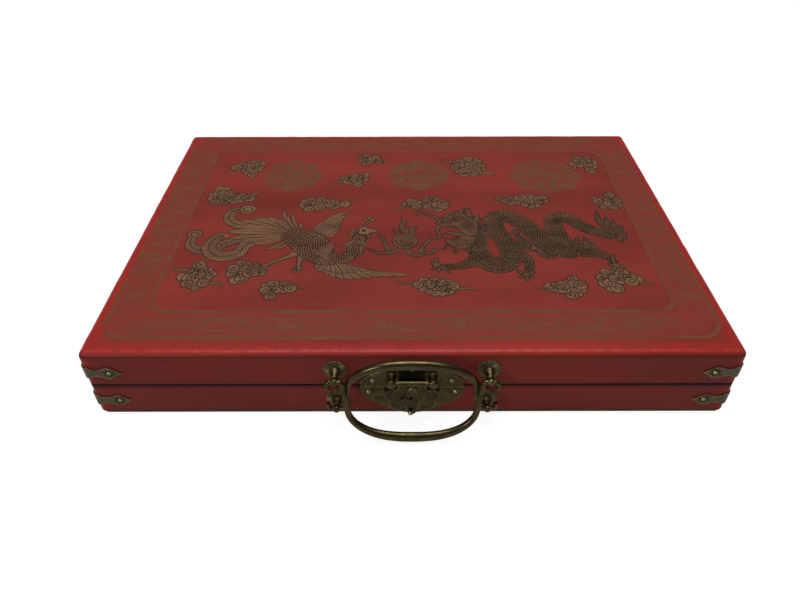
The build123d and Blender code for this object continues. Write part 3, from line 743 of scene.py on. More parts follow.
class Picture:
    """A figure painted with filled outlines, lines, and stamps such as scales."""

    def __init__(self):
        self.fills = []
        self.lines = []
        self.stamps = []

    def fill(self, outline, faces=None):
        """Tint an outline. It hides what was drawn before it."""
        xs = [p.x for p in outline]
        ys = [p.y for p in outline]
        self.fills.append((outline, faces or [outline], (min(xs), max(xs), min(ys), max(ys))))

    def hidden(self, point, painted):
        """Whether a fill painted later covers a point."""
        for outline, _, (low_x, high_x, low_y, high_y) in self.fills[painted:]:
            if low_x < point.x < high_x and low_y < point.y < high_y and inside(point, outline):
                return True
        return False

    def stroke(self, curve, widths, closed=False):
        """Draw along a curve with a half width at each of its points."""
        left, right = sides([Vector((*p[:2], w)) for p, w in zip(curve, widths)], closed)
        for i in range(len(curve) if closed else len(curve) - 1):
            j = (i + 1) % len(curve)
            self.lines.append((len(self.fills), [left[i], right[i], right[j], left[j]]))

    def line(self, points, start=pen, end=None, closed=False, curved=True):
        """Draw a line, its half width going from start to end."""
        curve = smooth([p[:2] for p in points], closed) if curved else points
        end = start if end is None else end
        span = max(len(curve) - 1, 1)
        widths = [start + (end - start) * i / span for i in range(len(curve))]
        self.stroke(curve, widths, closed)

    def shape(self, points, curved=True):
        """A tinted outline with a line round it."""
        curve = smooth(points, True) if curved else [Vector(p) for p in points]
        self.fill([p.xy for p in curve])
        self.line(curve, closed=True, curved=False)

    def band(self, points, tip=False, edge=pen):
        """A tinted band along points of (x, y, half width), with a line down each side."""
        curve = smooth(points)
        left, right = sides(curve)
        quads = [
            [left[i], right[i], right[i + 1], left[i + 1]] for i in range(len(curve) - 1)
        ]
        self.fill(left + right[::-1], quads)
        widths = [min(edge, thinnest_edge + edge_share * point.z) for point in curve]
        self.stroke(left, widths)
        self.stroke(right, widths)
        if tip:
            self.line([left[-1], right[-1]], edge, curved=False)
        return curve

    def disc(self, x, y, radius, edge=pen):
        """A round blob with a line round it."""
        turns = [2 * math.pi * step / disc_steps for step in range(disc_steps)]
        rim = [Vector((x + radius * math.cos(t), y + radius * math.sin(t))) for t in turns]
        self.fill(rim)
        self.line(rim, edge, closed=True, curved=False)

    def press(self, name, level, tint=None, dark=None):
        """Turn the picture into films on the lid: the tint at a level, the lines a little higher."""
        whole = []
        for _, faces, _ in self.fills:
            whole += [face for face in faces if abs(area(face)) > least_tint]
        seen = []
        for painted, face in self.lines:
            middle = sum(face, Vector((0, 0))) / len(face)
            if abs(area(face)) > least_stroke and not self.hidden(middle, painted):
                seen.append(face)
        if whole:
            lay_on_lid(film(name + "_tint", whole, tint or sepia_ink, ink_foot, level))
        lay_on_lid(film(name + "_lines", seen, dark or dark_ink, ink_foot, level + line_lift))
        marks = [stamp for painted, stamp in self.stamps if not self.hidden(stamp[0], painted)]
        print(name, len(whole), "tints,", len(seen), "strokes,", len(marks), "stamps")
        return marks


# %% [markdown]
# Small marks that come back many times, such as scales, cloud curls and the key pattern of the
# border, are each drawn once. A Geometry Nodes tree puts them on points that carry a turn and a
# size, shakes each a little, as a hand would, and gives them their ink.

# %% Stamps


def stamp_tree():
    tree = bpy.data.node_groups.new("stamp_on_points", "GeometryNodeTree")
    for label, kind in (
        ("Points", "NodeSocketGeometry"),
        ("Stamp", "NodeSocketObject"),
        ("Ink", "NodeSocketMaterial"),
        ("Shake", "NodeSocketFloat"),
        ("Seed", "NodeSocketInt"),
    ):
        tree.interface.new_socket(name=label, in_out="INPUT", socket_type=kind)
    tree.interface.new_socket(name="Marks", in_out="OUTPUT", socket_type="NodeSocketGeometry")
    given = add(tree, "NodeGroupInput").outputs
    turn, size = [
        add(tree, "GeometryNodeInputNamedAttribute", {"Name": label}, data_type="FLOAT")
        for label in ("turn", "size")
    ]
    least = maths(tree, "MULTIPLY", given["Shake"], -1.0)
    spread = {2: least, 3: given["Shake"], "Seed": given["Seed"]}
    shake = add(tree, "FunctionNodeRandomValue", spread, data_type="FLOAT")
    angle = maths(tree, "ADD", turn.outputs["Attribute"], shake.outputs[1])
    stamp = add(tree, "GeometryNodeObjectInfo", {"Object": given["Stamp"]})
    placing = {
        "Points": given["Points"],
        "Instance": stamp.outputs["Geometry"],
        "Rotation": add(tree, "ShaderNodeCombineXYZ", {"Z": angle}).outputs[0],
        "Scale": size.outputs["Attribute"],
    }
    placed = add(tree, "GeometryNodeInstanceOnPoints", placing)
    real = add(tree, "GeometryNodeRealizeInstances", {"Geometry": placed.outputs[0]})
    inking = {"Geometry": real.outputs[0], "Material": given["Ink"]}
    inked = add(tree, "GeometryNodeSetMaterial", inking)
    add(tree, "NodeGroupOutput", {"Marks": inked.outputs[0]})
    return tree


stamping = stamp_tree()


def stamped(name, marks, stamp, ink, level, shake=0.0, seed=1):
    """Put a stamp at every (place, turn, size)."""
    points = bpy.data.meshes.new(name)
    points.from_pydata([Vector((*place, level)) * MM for place, _, _ in marks], [], [])
    for label, values in (("turn", [m[1] for m in marks]), ("size", [m[2] for m in marks])):
        points.attributes.new(label, "FLOAT", "POINT").data.foreach_set("value", values)
    piece = put(name, points)
    nodes_on = piece.modifiers.new("stamps", "NODES")
    nodes_on.node_group = stamping
    given = {"Stamp": stamp, "Ink": ink, "Shake": shake, "Seed": seed}
    for item in stamping.interface.items_tree:
        if item.in_out == "INPUT" and item.name in given:
            nodes_on[item.identifier] = given[item.name]
    bpy.context.view_layer.update()
    shape = piece.evaluated_get(bpy.context.evaluated_depsgraph_get())
    piece.data = bpy.data.meshes.new_from_object(shape)
    piece.data.name = name
    piece.modifiers.clear()
    return piece


def stamp_of(name, *strokes):
    """A stamp from strokes of (points, half width), drawn about its own centre."""
    drawing = Picture()
    for points, half in strokes:
        drawing.line(points, half, curved=False)
    faces = [face for _, face in drawing.lines]
    stamp = film(name, faces, dark_ink, ink_foot, 0.0)
    stamp.data.materials.clear()
    bpy.context.scene.collection.objects.unlink(stamp)
    return stamp


def round_points(start, end, radius, count, tighten=0.0):
    """Points on an arc between two angles in degrees, which tightens into a spiral if asked."""
    points = []
    for i in range(count):
        turn = math.radians(start + (end - start) * i / (count - 1))
        reach = radius * (1 - tighten * i / (count - 1))
        points.append((reach * math.cos(turn), reach * math.sin(turn)))
    return points


# %% Scale, curl and key
scale_stamp = stamp_of("scale_stamp", (round_points(-105, 105, 1.05, 11), 0.36))
curl_stamp = stamp_of("curl_stamp", (round_points(20, 400, 0.62, 18, 0.75), 0.1))
key_stamp = stamp_of(
    "key_stamp",
    (((-5.4, -5.2), (5.8, -5.2)), 1.05),
    (((-4.8, -5.2), (-4.8, 4.6)), 1.05),
    (((-5.6, 4.6), (4.6, 4.6)), 1.05),
    (((3.8, 5.4), (3.8, -2.4)), 1.05),
    (((4.6, -2.4), (-1.6, -2.4)), 1.05),
    (((-1.2, -3.2), (-1.2, 1.8)), 1.05),
)
print("stamps drawn")

# %% [markdown]
# The clouds are bunches of lobes with a curl in each, and one or two wavering tails. A fixed seed
# for each cloud varies how its lobes sit.

# %% Clouds
lobe_pitch = 6.0
column_pitch = 0.62 * lobe_pitch
lobe_sizes = (0.54 * lobe_pitch, 0.78 * lobe_pitch)
lobe_edge = 0.4
tail_reach = 0.64
tail_thickness = 0.09
one_tail_bulk = 0.74
two_tail_bulk = 0.62
one_tail_swell = (0.55, 1.0, 0.9, 0.5, 0.6, 0.25)
two_tail_swell = (0.3, 0.7, 1.0, 0.75, 0.3)


def tail(picture, x, y, reach, direction, thick):
    """A tail that starts inside its cloud, sways from side to side and thins to a point."""
    turn = math.radians(direction)
    along = Vector((math.cos(turn), math.sin(turn)))
    across = Vector((-along.y, along.x))
    points = []
    for share, sway, wide in (
        (0.0, 0.0, 1.0),
        (0.3, 0.6, 0.9),
        (0.52, -0.7, 0.75),
        (0.76, 0.6, 0.5),
        (1.0, -0.5, 0.04),
    ):
        spot = Vector((x, y)) + along * reach * share + across * thick * sway
        points.append((spot.x, spot.y, thick * wide))
    curve = picture.band(points, edge=0.34)
    picture.line(curve[2 : int(0.8 * len(curve))], 0.22, 0.1, curved=False)


def cloud(picture, x, y, width, height, directions, seed):
    """A cloud that fills a box about (x, y), with a tail towards each direction in degrees."""
    choose = random.Random(seed)
    lean = sum(math.cos(math.radians(d)) for d in directions)
    two = len(directions) == 2
    middle_x = x - (0.0 if two else 0.12 * width * lean)
    bulk = (two_tail_bulk if two else one_tail_bulk) * width
    for direction in directions:
        tail(picture, middle_x, y, tail_reach * width, direction, tail_thickness * height)
    swell = two_tail_swell if two else one_tail_swell
    columns = max(round(bulk / column_pitch), 3)
    spots = []
    for column in range(columns):
        share = (column + 0.5) / columns
        tall = swell[int(share * len(swell))] * height * choose.uniform(0.95, 1.2)
        across = (share - 0.5) * bulk * (1 if two or lean > 0 else -1)
        drift = choose.uniform(-0.12, 0.12) * height
        count = max(round(tall / lobe_pitch), 1)
        for k in range(count):
            up = ((k + 0.5) / count - 0.5) * max(tall - 0.3 * lobe_pitch, 0) + drift
            spots.append(Vector((middle_x + across, y + up)))
    choose.shuffle(spots)
    for spot in spots:
        size = choose.uniform(*lobe_sizes)
        picture.disc(spot.x, spot.y, size, lobe_edge)
        turn = math.atan2(spot.y - y, spot.x - middle_x) + choose.uniform(-0.6, 0.6)
        picture.stamps.append((len(picture.fills), (spot, turn, size)))


# %% Sixteen clouds
cloud_list = (
    (-132.5, 79, 30, 26, (205,)),
    (-28.7, 91, 24, 17, (335,)),
    (-46, 60.5, 26, 21, (205,)),
    (47.5, 79, 40, 30, (150, 325)),
    (138.7, 85.5, 25, 26, (220,)),
    (-128.7, 33, 43, 22, (18,)),
    (-57.5, 23, 44, 18, (16,)),
    (6, 24, 42, 18, (200,)),
    (77.5, 28, 48, 18, (175,)),
    (143.7, 25.5, 25, 23, (150,)),
    (-136, -63, 34, 24, (150, 330)),
    (-102.5, -58, 30, 22, (25,)),
    (-80, -75.7, 26, 17, (0,)),
    (15, -73, 42, 18, (170, 350)),
    (92.5, -75.7, 30, 19, (180,)),
    (135, -65.7, 34, 21, (340,)),
)
clouds = Picture()
for seed, (x, y, width, height, directions) in enumerate(cloud_list):
    cloud(clouds, x, y, width, height, directions, seed)
curls = clouds.press("clouds", cloud_level, pale_ink)
curls_level = cloud_level + stamp_lift
lay_on_lid(stamped("cloud_curls", curls, curl_stamp, dark_ink, curls_level, shake=0.2, seed=4))

# %% Pearl with its flames and ribbons
pearl = Picture()
for points in (
    ((-3, -14, 2.4), (-6, -6, 2.0), (-4, 0, 1.4), (-7, 6, 0.1)),
    ((-8, -16, 2.0), (-10, -12, 1.4), (-13, -10, 0.1)),
    ((1, -16, 2.2), (1, -10, 1.6), (4, -7, 0.9), (6, -7, 0.1)),
    ((-15, -36, 1.6), (-17, -28, 1.5), (-19, -21, 1.2), (-23, -16, 0.1)),
    ((-8, -34, 1.8), (-15, -38, 1.6), (-23, -37, 1.3), (-30, -32, 0.1)),
    ((6, -38, 1.8), (8, -31, 1.7), (12, -25, 1.2), (15, -19, 0.1)),
    ((8, -38, 1.8), (14, -38, 1.5), (17, -34, 1.1), (22, -33, 0.1)),
    ((-3, -33, 1.8), (0, -39, 1.7), (5, -41, 1.4), (10, -38, 0.6)),
):
    flame = pearl.band(points)
    pearl.line(flame[: int(0.7 * len(flame))], 0.25, 0.1, curved=False)
pearl.disc(-3.7, -24.5, 9.0)
pearl.line([(x - 3.7, y - 24.5) for x, y in round_points(30, 330, 6.8, 12, 0.1)], 0.35)
pearl.line([(x - 3.7, y - 24.5) for x, y in round_points(200, 920, 5.4, 26, 0.85)], 0.36)
pearl.press("pearl", pearl_level)

# %% [markdown]
# ## The phoenix
# A feather is a leaf with a quill down its middle. Wings and tail are fans of them, painted from
# the far ones to the near ones.

# %% Feathers, plumes and scales
row_pitch = 0.8
crowding = 0.62
scale_margin = 0.93


def feather(picture, root, end, width, bow=0.0, quill=True):
    """A feather from root to end, bowed to its left by a share of its length."""
    root = Vector(root)
    along = Vector(end) - root
    across = Vector((-along.y, along.x))
    spine = []
    for share, wide in ((0.0, 0.45), (0.3, 0.85), (0.65, 1.0), (0.88, 0.7), (1.0, 0.05)):
        spot = root + along * share + across * bow * math.sin(math.pi * share)
        spine.append((spot.x, spot.y, width * wide))
    picture.band(spine, edge=0.3)
    if quill:
        picture.line(spine[:4], 0.26, 0.14)


def plume(picture, points, pitch=1.1, eye=0.0):
    """A long tail plume: a band with barbs that sweep back from its middle, and an eye at its end."""
    curve = picture.band(points, edge=0.35)
    picture.line(curve[::3], 0.3)
    left, right = sides(curve)
    walked = 0.0
    for i in range(1, len(curve) - 1):
        walked += (curve[i] - curve[i - 1]).xy.length
        if walked < pitch:
            continue
        walked = 0.0
        back = curve[max(i - 2, 0)].xy
        picture.line([back, left[i].lerp(curve[i].xy, 0.08)], 0.26, 0.16, curved=False)
        picture.line([back, right[i].lerp(curve[i].xy, 0.08)], 0.26, 0.16, curved=False)
    if eye:
        end = curve[-1]
        picture.disc(end.x, end.y, eye)
        picture.disc(end.x, end.y, 0.55 * eye)


def scales(picture, curve, pitch, reach=0.85, size=1.0):
    """Rows of scales across a band, every other row half a scale over."""
    walked = 0.0
    due = 0.0
    row = 0
    placed = []
    for a, b in zip(curve, curve[1:]):
        step = (b - a).xy
        while due <= walked + step.length:
            middle = a.lerp(b, (due - walked) / step.length)
            along = step.normalized()
            across = Vector((-along.y, along.x))
            count = max(round(2 * middle.z * reach / pitch), 1) + row % 2
            for k in range(count):
                spot = middle.xy + across * pitch * (k - (count - 1) / 2)
                turn = math.atan2(along.y, along.x)
                crowded = any((spot - other).length < crowding * pitch for other in placed)
                if abs(pitch * (k - (count - 1) / 2)) < middle.z * scale_margin and not crowded:
                    placed.append(spot)
                    picture.stamps.append((len(picture.fills), (spot, turn, size)))
            row += 1
            due += row_pitch * pitch
        walked += step.length


# %% Phoenix's tail and legs
phoenix = Picture()
plume(phoenix, ((-84, -13, 2), (-100, -1, 4), (-118, -5, 4.5), (-129, 3, 4.2), (-128, 14, 3.8),
                (-118, 16, 3.0)), eye=6.0)
plume(phoenix, ((-86, -17, 2), (-108, -16, 4), (-124, -26, 4), (-138, -35, 4), (-149, -29, 3.6),
                (-149, -16, 3.0)), eye=5.2)
plume(phoenix, ((-84, -20, 2), (-101, -21, 4.5), (-111, -28, 5), (-116, -39, 5.2), (-128, -41, 5.6),
                (-136, -32, 5), (-133, -20, 4.2), (-126, -17, 3.0)))
for end, width, bow in (
    ((-121, 1), 3.0, -0.10),
    ((-112, 4), 3.0, -0.12),
    ((-103, 5), 3.0, -0.12),
    ((-127, -6), 3.2, -0.06),
    ((-127, -13), 3.4, -0.03),
    ((-124, -20), 3.2, 0.04),
    ((-116, -23), 3.0, 0.08),
    ((-107, -27), 2.6, 0.10),
):
    feather(phoenix, (-82, -15), end, width, bow)
for root, end in (
    ((-81, -10), (-92, 18)),
    ((-82, -11), (-96, 5)),
    ((-80, -9), (-88, 8)),
    ((-78, -9), (-84, 11)),
    ((-76, -9), (-77, -2)),
    ((-84, -23), (-98, -34)),
    ((-82, -26), (-91, -33)),
):
    feather(phoenix, root, end, 1.3, 0.08, quill=False)
phoenix.band(((-76, -38, 3.2), (-81, -42, 2.0), (-89, -47, 1.2), (-97, -53, 1.1)), tip=True)
for claw in ((-104, -48), (-106, -51), (-103, -55), (-98, -57)):
    phoenix.band(((-97, -53, 1.3), (*claw, 0.2)), tip=True)
phoenix.band(((-71, -38, 3.4), (-73, -46, 1.8), (-73, -54, 1.3)), tip=True)
for claw in ((-78, -56), (-76, -60), (-72, -60), (-69, -56)):
    phoenix.band(((-73, -54, 1.4), (*claw, 0.2)), tip=True)

# %% Phoenix's wings
upper_wing = (
    (-42.5, 14), (-45.5, 7.5), (-47, 3), (-48, -1), (-48.5, -5), (-49, -9), (-50, -13), (-52, -17),
)
for step, end in reversed(list(enumerate(upper_wing))):
    feather(phoenix, (-65 + 0.8 * step, -10 - 1.2 * step), end, 2.3, 0.09)
for step in range(7):
    root = (-67 + 1.2 * step, -13 - 1.0 * step)
    feather(phoenix, root, (-60.5 + 1.6 * step, -1.5 - 1.2 * step), 1.9, 0.1)
lower_wing = (
    (-1, -62), (-10, -62.5), (-18, -63), (-25, -64.5), (-31, -66), (-37, -66.5), (-43, -66),
    (-48.5, -64.5), (-53.5, -62), (-58, -58.5), (-61.5, -54),
)
for step, end in enumerate(lower_wing):
    root = (-44 - 1.5 * step, -53.5 + 0.65 * step)
    feather(phoenix, root, end, 2.3, -0.05)
for step in range(9):
    root = (-46 - 1.5 * step, -49.5 + 0.5 * step)
    end = (-28 - 4.2 * step, -57.5 - 0.9 * min(step, 4) + 1.6 * max(step - 4, 0))
    feather(phoenix, root, end, 2.0, -0.04)

# %% Phoenix's body and head
body = phoenix.band(((-88, -16, 5), (-80, -19, 9), (-71, -25, 12), (-64, -34, 12), (-57, -43, 8.5),
                     (-49, -45, 5.4), (-42.5, -43, 4.8), (-38.5, -35, 4.2), (-36, -26, 4.2),
                     (-34.5, -18, 4.4), (-33, -12, 4.2)))
scales(phoenix, body, 2.0, 0.86, 1.0)
for end in ((-30, -24), (-30, -31), (-32, -38), (-34, -43), (-43, -26), (-45, -33), (-47, -30)):
    feather(phoenix, (-36.5, -20), end, 0.9, 0.06, quill=False)
for step in range(7):
    root = (-57 - 1.4 * step, -26 - 1.8 * step)
    feather(phoenix, root, (-52.5 - 0.3 * step, -34 - 2.0 * step), 1.8, 0.1)
phoenix.shape(((-37, -14), (-36, -9), (-32, -7.5), (-28.5, -9), (-24.5, -10.5), (-22.5, -13.5),
               (-26, -13.5), (-29, -15.5), (-33, -17)))
phoenix.line(((-29, -12.5), (-26, -12)), 0.25)
phoenix.disc(-32.3, -11.7, 1.3)
phoenix.disc(-32.3, -11.7, 0.5)
phoenix.band(((-32, -8, 0.9), (-30.5, -3, 0.8), (-29.5, 1, 0.7)))
for x, y in ((-31.6, 2.4), (-29, 4.2), (-26.8, 2.2)):
    phoenix.disc(x, y, 1.7)
for end in ((-42, -12), (-43, -16), (-42.5, -20)):
    feather(phoenix, (-35.5, -12), end, 1.2, -0.08)
phoenix.band(((-30, -15.5, 0.9), (-29, -19, 1.1), (-30, -22, 0.3)))
feather_scales = phoenix.press("phoenix", beast_level, pale_ink)
scales_level = beast_level + stamp_lift
shaken = {"shake": 0.15, "seed": 7}
lay_on_lid(
    stamped("phoenix_scales", feather_scales, scale_stamp, dark_ink, scales_level, **shaken)
)

# %% [markdown]
# ## The dragon
# Its long body is a band that loops over itself. The back carries a row of spines and the belly a
# row of broad plates, both on the same side all the way along.

# %% Spines, plates, paws and mane


def spines(picture, curve, height=2.0, pitch=2.6):
    """A saw-tooth crest along the left side of a band, left out where that side bends sharply in."""
    left, _ = sides(curve)
    first = 0
    for i in range(1, len(left)):
        base = left[i] - left[first]
        if base.length < pitch and (curve[i] - curve[first]).xy.length < 1.5 * pitch:
            continue
        if base.length > 0.65 * pitch:
            out = Vector((-base.y, base.x)).normalized()
            peak = left[first] + base * 0.85 + out * height
            foot = out * 0.3
            picture.shape([left[first] - foot, left[i] - foot, peak], curved=False)
        first = i


def plates(picture, curve, share=0.5, pitch=2.2):
    """Belly plates along the right side of a band: a long line and rungs from it to the edge."""
    _, right = sides(curve)
    seam = [point.xy.lerp(edge, share) for point, edge in zip(curve, right)]
    picture.line(seam, 0.25, curved=False)
    start = seam[0]
    for inner, edge in zip(seam, right):
        if (inner - start).length >= pitch:
            picture.line([inner, edge], 0.2, curved=False)
            start = inner


def paw(picture, x, y, claws):
    """A paw with its claws."""
    for claw_x, claw_y in claws:
        bend_x = x + 0.62 * (claw_x - x) - 0.12 * (claw_y - y)
        bend_y = y + 0.62 * (claw_y - y) + 0.12 * (claw_x - x)
        picture.band(((x, y, 1.5), (bend_x, bend_y, 1.2), (claw_x, claw_y, 0.1)))
    picture.disc(x, y, 2.6)


def lock(picture, root, bend, end, width, strands=1):
    """A flame-like lock of mane."""
    points = ((*root, width), (*bend, 0.8 * width), (*end, 0.05))
    curve = picture.band(points)
    left, right = sides(curve)
    for strand in range(strands):
        share = (strand + 1) / (strands + 1)
        hairs = [a.lerp(b, share) for a, b in zip(left, right)]
        picture.line(hairs[: int(0.85 * len(hairs))], 0.34, 0.15, curved=False)


def limb(picture, points, pitch, reach, tip=False):
    """A band covered in scales."""
    curve = picture.band(points, tip=tip)
    scales(picture, curve, pitch, reach)
    return curve


# %% Dragon's body
dragon = Picture()
for bend, end in (
    ((134, 1), (135.5, 16)), ((139, -4), (140, 8)), ((143, -6), (144, 3)),
    ((146, -11), (148, -4)), ((147, -16), (150, -14)), ((146, -20), (149, -22)),
    ((143, -22), (144, -26)),
):
    lock(dragon, (139, -17.5), bend, end, 2.8, 3)
loin = limb(dragon, ((107, -38, 7.5), (104, -29, 7.2), (101.5, -17, 6.2), (101, -5, 5.8),
                     (103, 3, 5.6), (108.5, 5.5, 5.4), (114, 1, 5.6), (119.5, -6, 5.4),
                     (126, -12, 4.8), (134, -17, 4.2), (141, -18.5, 3.0)), 2.2, 0.8, tip=True)
spines(dragon, loin)
plates(dragon, loin, 0.6)
for root, bend, end in (
    ((114, -34), (113, -26), (115, -18)), ((118, -35), (119, -27), (119, -18)),
    ((121, -37), (123, -31), (120, -24)),
):
    lock(dragon, root, bend, end, 2.6, 3)
thigh = ((106, -34, 7), (114, -36, 6.5), (123, -39, 4.6), (130, -43, 3.0), (132.5, -50, 2.2))
limb(dragon, thigh, 2.1, 0.75)
paw(dragon, 132.5, -52.5, ((134.5, -40), (128, -50), (128, -58), (135, -60), (139, -56)))
limb(dragon, ((96, -40, 4.6), (89, -40, 3.2), (85, -36, 2.2)), 2.0, 0.7)
paw(dragon, 83, -32.5, ((78.5, -27), (83, -27), (79, -36), (85, -43), (90, -46)))
trunk = limb(dragon, ((46, -4, 6), (45, -20, 6.5), (44.5, -34, 6.3), (47, -45.5, 6.9),
                      (55, -52.5, 7.6), (63.5, -49, 7.2), (67, -37, 6.9), (63.5, -23, 6.2),
                      (59.5, -10, 6.2), (60, 1, 6.8), (66, 6.5, 7), (74, 3, 7), (80, -5, 7),
                      (86, -16, 7), (92, -27, 7.2), (100, -36, 7), (110, -39, 5.2)), 2.2, 0.84)
spines(dragon, trunk)
plates(dragon, trunk, 0.62)
for root, bend, end in (
    ((72, -34), (70, -26), (69, -18)), ((74, -33), (75, -24), (71, -13)),
    ((77, -36), (79, -27), (75, -17)), ((70, -12), (74, -15), (76, -15)),
):
    lock(dragon, root, bend, end, 2.2, 3)
limb(dragon, ((68, -38, 6), (75, -44, 4.2), (77, -52, 2.8), (74, -59, 2.0)), 2.0, 0.75)
paw(dragon, 73, -62, ((68, -56), (67, -64), (72, -69), (78, -66), (80.5, -59)))
limb(dragon, ((46, -42, 6.5), (39, -49, 4.6), (30, -53, 3.0), (20, -53, 2.2)), 2.0, 0.75)
paw(dragon, 16.5, -51.5, ((17.5, -43), (13, -46), (12, -57), (17, -60), (24.5, -61)))

# %% Dragon's head
for root, bend, end in (
    ((42, -4), (48, 1), (53, 3)), ((42, -8), (49, -5), (55, -5)), ((42, -12), (49, -12), (54, -13)),
    ((41, -16), (48, -19), (53, -22)), ((40, -20), (46, -26), (51, -30)),
    ((38, -22), (43, -31), (48, -36)), ((35, -24), (38, -34), (42, -39)),
    ((44, -2), (47, -7), (50, -9)), ((44, -12), (46, -17), (50, -18)),
    ((42, -18), (44, -24), (48, -26)),
):
    lock(dragon, root, bend, end, 2.7, 4)
dragon.band(((39, 6, 1.9), (37, 11, 1.7), (37.5, 15, 1.2), (40, 17, 0.2)))
dragon.band(((43, 3, 2.2), (42.5, 10, 2.0), (41.5, 15, 1.5), (44, 19, 0.2)))
dragon.band(((46, -1, 1.4), (47.5, 4, 1.9), (49.5, 8.5, 0.2)))
dragon.band(((22, 0, 1.4), (17.5, 6, 1.3), (11, 9.5, 1.1), (6.5, 13, 0.9), (4.5, 10, 0.7),
             (6.5, 7, 0.2)))
dragon.band(((21, -5, 1.3), (18.5, -11, 1.2), (20.5, -18, 1.1), (18.5, -22, 0.8), (14.5, -22, 0.15)))
dragon.shape(((39, -16), (34, -19), (30, -24), (27, -24), (24, -21), (24.5, -27), (29, -32),
              (35, -34), (41, -30), (44, -21)))
for x in (28, 30.2, 32.4):
    dragon.shape(((x - 0.9, -25.2 + 1.1 * (x - 28)), (x + 0.9, -24.2 + 1.1 * (x - 28)),
                  (x - 0.3, -21.2 + 1.0 * (x - 28))), curved=False)
dragon.band(((37, -16, 1.6), (32, -16.5, 1.7), (27.5, -14, 1.4), (23, -16.5, 0.2)))
for x in (23.5, 27, 30.5):
    dragon.shape(((x - 1.0, -6.3), (x + 1.1, -6.8), (x + 0.2, -10.6)), curved=False)
dragon.shape(((47, -11), (47.5, -3), (43, 5), (38, 9.5), (34, 9), (31, 6.5), (27.5, 8.8), (24, 7.8),
              (22.8, 4), (19.6, 2), (18.4, -2.4), (20.2, -5.4), (24, -6.4), (29, -6.6), (33, -8.5),
              (35.5, -14), (40, -17.5), (45, -16.5)))
dragon.line([(x + 22.6, y - 1.2) for x, y in round_points(-60, 300, 1.7, 10, 0.6)], 0.35)
dragon.line(((24, 3), (27, 4.5), (29, 1), (27.5, -2)), 0.3)
dragon.line(((36, -3), (38, -8), (42, -10)), 0.35)
dragon.line(((40, 3), (42, -2), (45, -4)), 0.35)
for step in range(4):
    dragon.line(((20.6 + 2.3 * step, -4), (22 + 2.3 * step, 0), (21 + 2.3 * step, 4)), 0.28)
for step in range(9):
    root = (35.5 + 0.55 * step, 6.5 - 2.4 * step)
    dragon.line((root, (root[0] + 3, root[1] - 1.5), (46.2, 5.2 - 2.5 * step)), 0.5, 0.2)
for step in range(8):
    beard = ((29 + 1.9 * step, -22.5), (30.4 + 1.8 * step, -26), (31 + 1.5 * step, -31))
    dragon.line(beard, 0.42, 0.15)
dragon.disc(32.6, 2.4, 2.7)
dragon.disc(32.2, 2.2, 1.1)
lock(dragon, (30, 6), (35, 8.6), (41, 12.5), 1.6)
lock(dragon, (29, 7), (31, 11), (35, 14.5), 1.3)
lock(dragon, (36, -5), (40, -5), (45, -8), 1.5)
lock(dragon, (27, -29), (23.5, -31), (22.5, -36), 1.2)
lock(dragon, (31, -32), (29, -36), (31, -40), 1.2)
body_scales = dragon.press("dragon", beast_level)
shaken = {"shake": 0.15, "seed": 11}
lay_on_lid(stamped("dragon_scales", body_scales, scale_stamp, dark_ink, scales_level, **shaken))

# %% [markdown]
# ## Border and medallions
# A fainter brown ink frames the picture with two lines and a key pattern between them, and prints
# three knot medallions behind the beasts.

# %% Border and medallions


def frame_line(picture, left, right, front, back, radius, half):
    """A line round the lid with round corners."""
    points = []
    for x, y, start in (
        (right - radius, front + radius, -90),
        (right - radius, back - radius, 0),
        (left + radius, back - radius, 90),
        (left + radius, front + radius, 180),
    ):
        for across, up in round_points(start, start + 90, radius, 9):
            points.append((x + across, y + up))
    picture.line(points, half, closed=True, curved=False)


loop_steps = 72


def knot(picture, x, y, width, height):
    """A medallion: a lobed ring with two looping bands woven through each other."""

    def loop(low, high, lobes, turn, half):
        points = []
        for step in range(loop_steps):
            at = 2 * math.pi * step / loop_steps
            reach = low + (high - low) * (0.5 + 0.5 * math.cos(lobes * (at - turn)))
            across, up = width / 2 * reach * math.cos(at), height / 2 * reach * math.sin(at)
            points.append((x + across, y + up))
        picture.line(points, half, closed=True, curved=False)

    loop(0.84, 0.98, 8, 0, 1.5)
    loop(0.28, 0.78, 4, 0, 2.1)
    loop(0.28, 0.78, 4, math.pi / 4, 2.1)
    loop(0.08, 0.08, 1, 0, 2.2)


stain = Picture()
frame_line(stain, -168.8, 168.5, -108.5, 117.2, 13.5, 10.2)
stain.press("border_stain", border_level, dark=border_stain)
border = Picture()
frame_line(border, -179, 178.5, -120, 128.5, 15, 1.5)
frame_line(border, -158.5, 158.5, -97, 106, 12, 1.5)
border.press("border", border_level + line_lift, dark=faded_ink)
key_pitch = 11.6
key_marks = []
for count, start, step, turn in (
    (27, Vector((-13 * key_pitch, -108.5)), Vector((key_pitch, 0)), 0.0),
    (27, Vector((13 * key_pitch, 117.0)), Vector((-key_pitch, 0)), math.pi),
    (17, Vector((168.5, -7.5 * key_pitch)), Vector((0, key_pitch)), math.pi / 2),
    (17, Vector((-168.5, 9 * key_pitch - 5.0)), Vector((0, -key_pitch)), -math.pi / 2),
):
    key_marks += [(start + step * i, turn, 1.0) for i in range(count)]
keys_level = border_level + 2 * line_lift
lay_on_lid(stamped("border_keys", key_marks, key_stamp, faded_ink, keys_level))
medallions = Picture()
for x, y, width, height in ((-91, 65.5, 44, 47), (7.5, 66.7, 48, 46), (106, 64, 55, 50)):
    knot(medallions, x, y, width, height)
medallions.press("medallions", border_level, dark=medallion_ink)
print("lid printed")

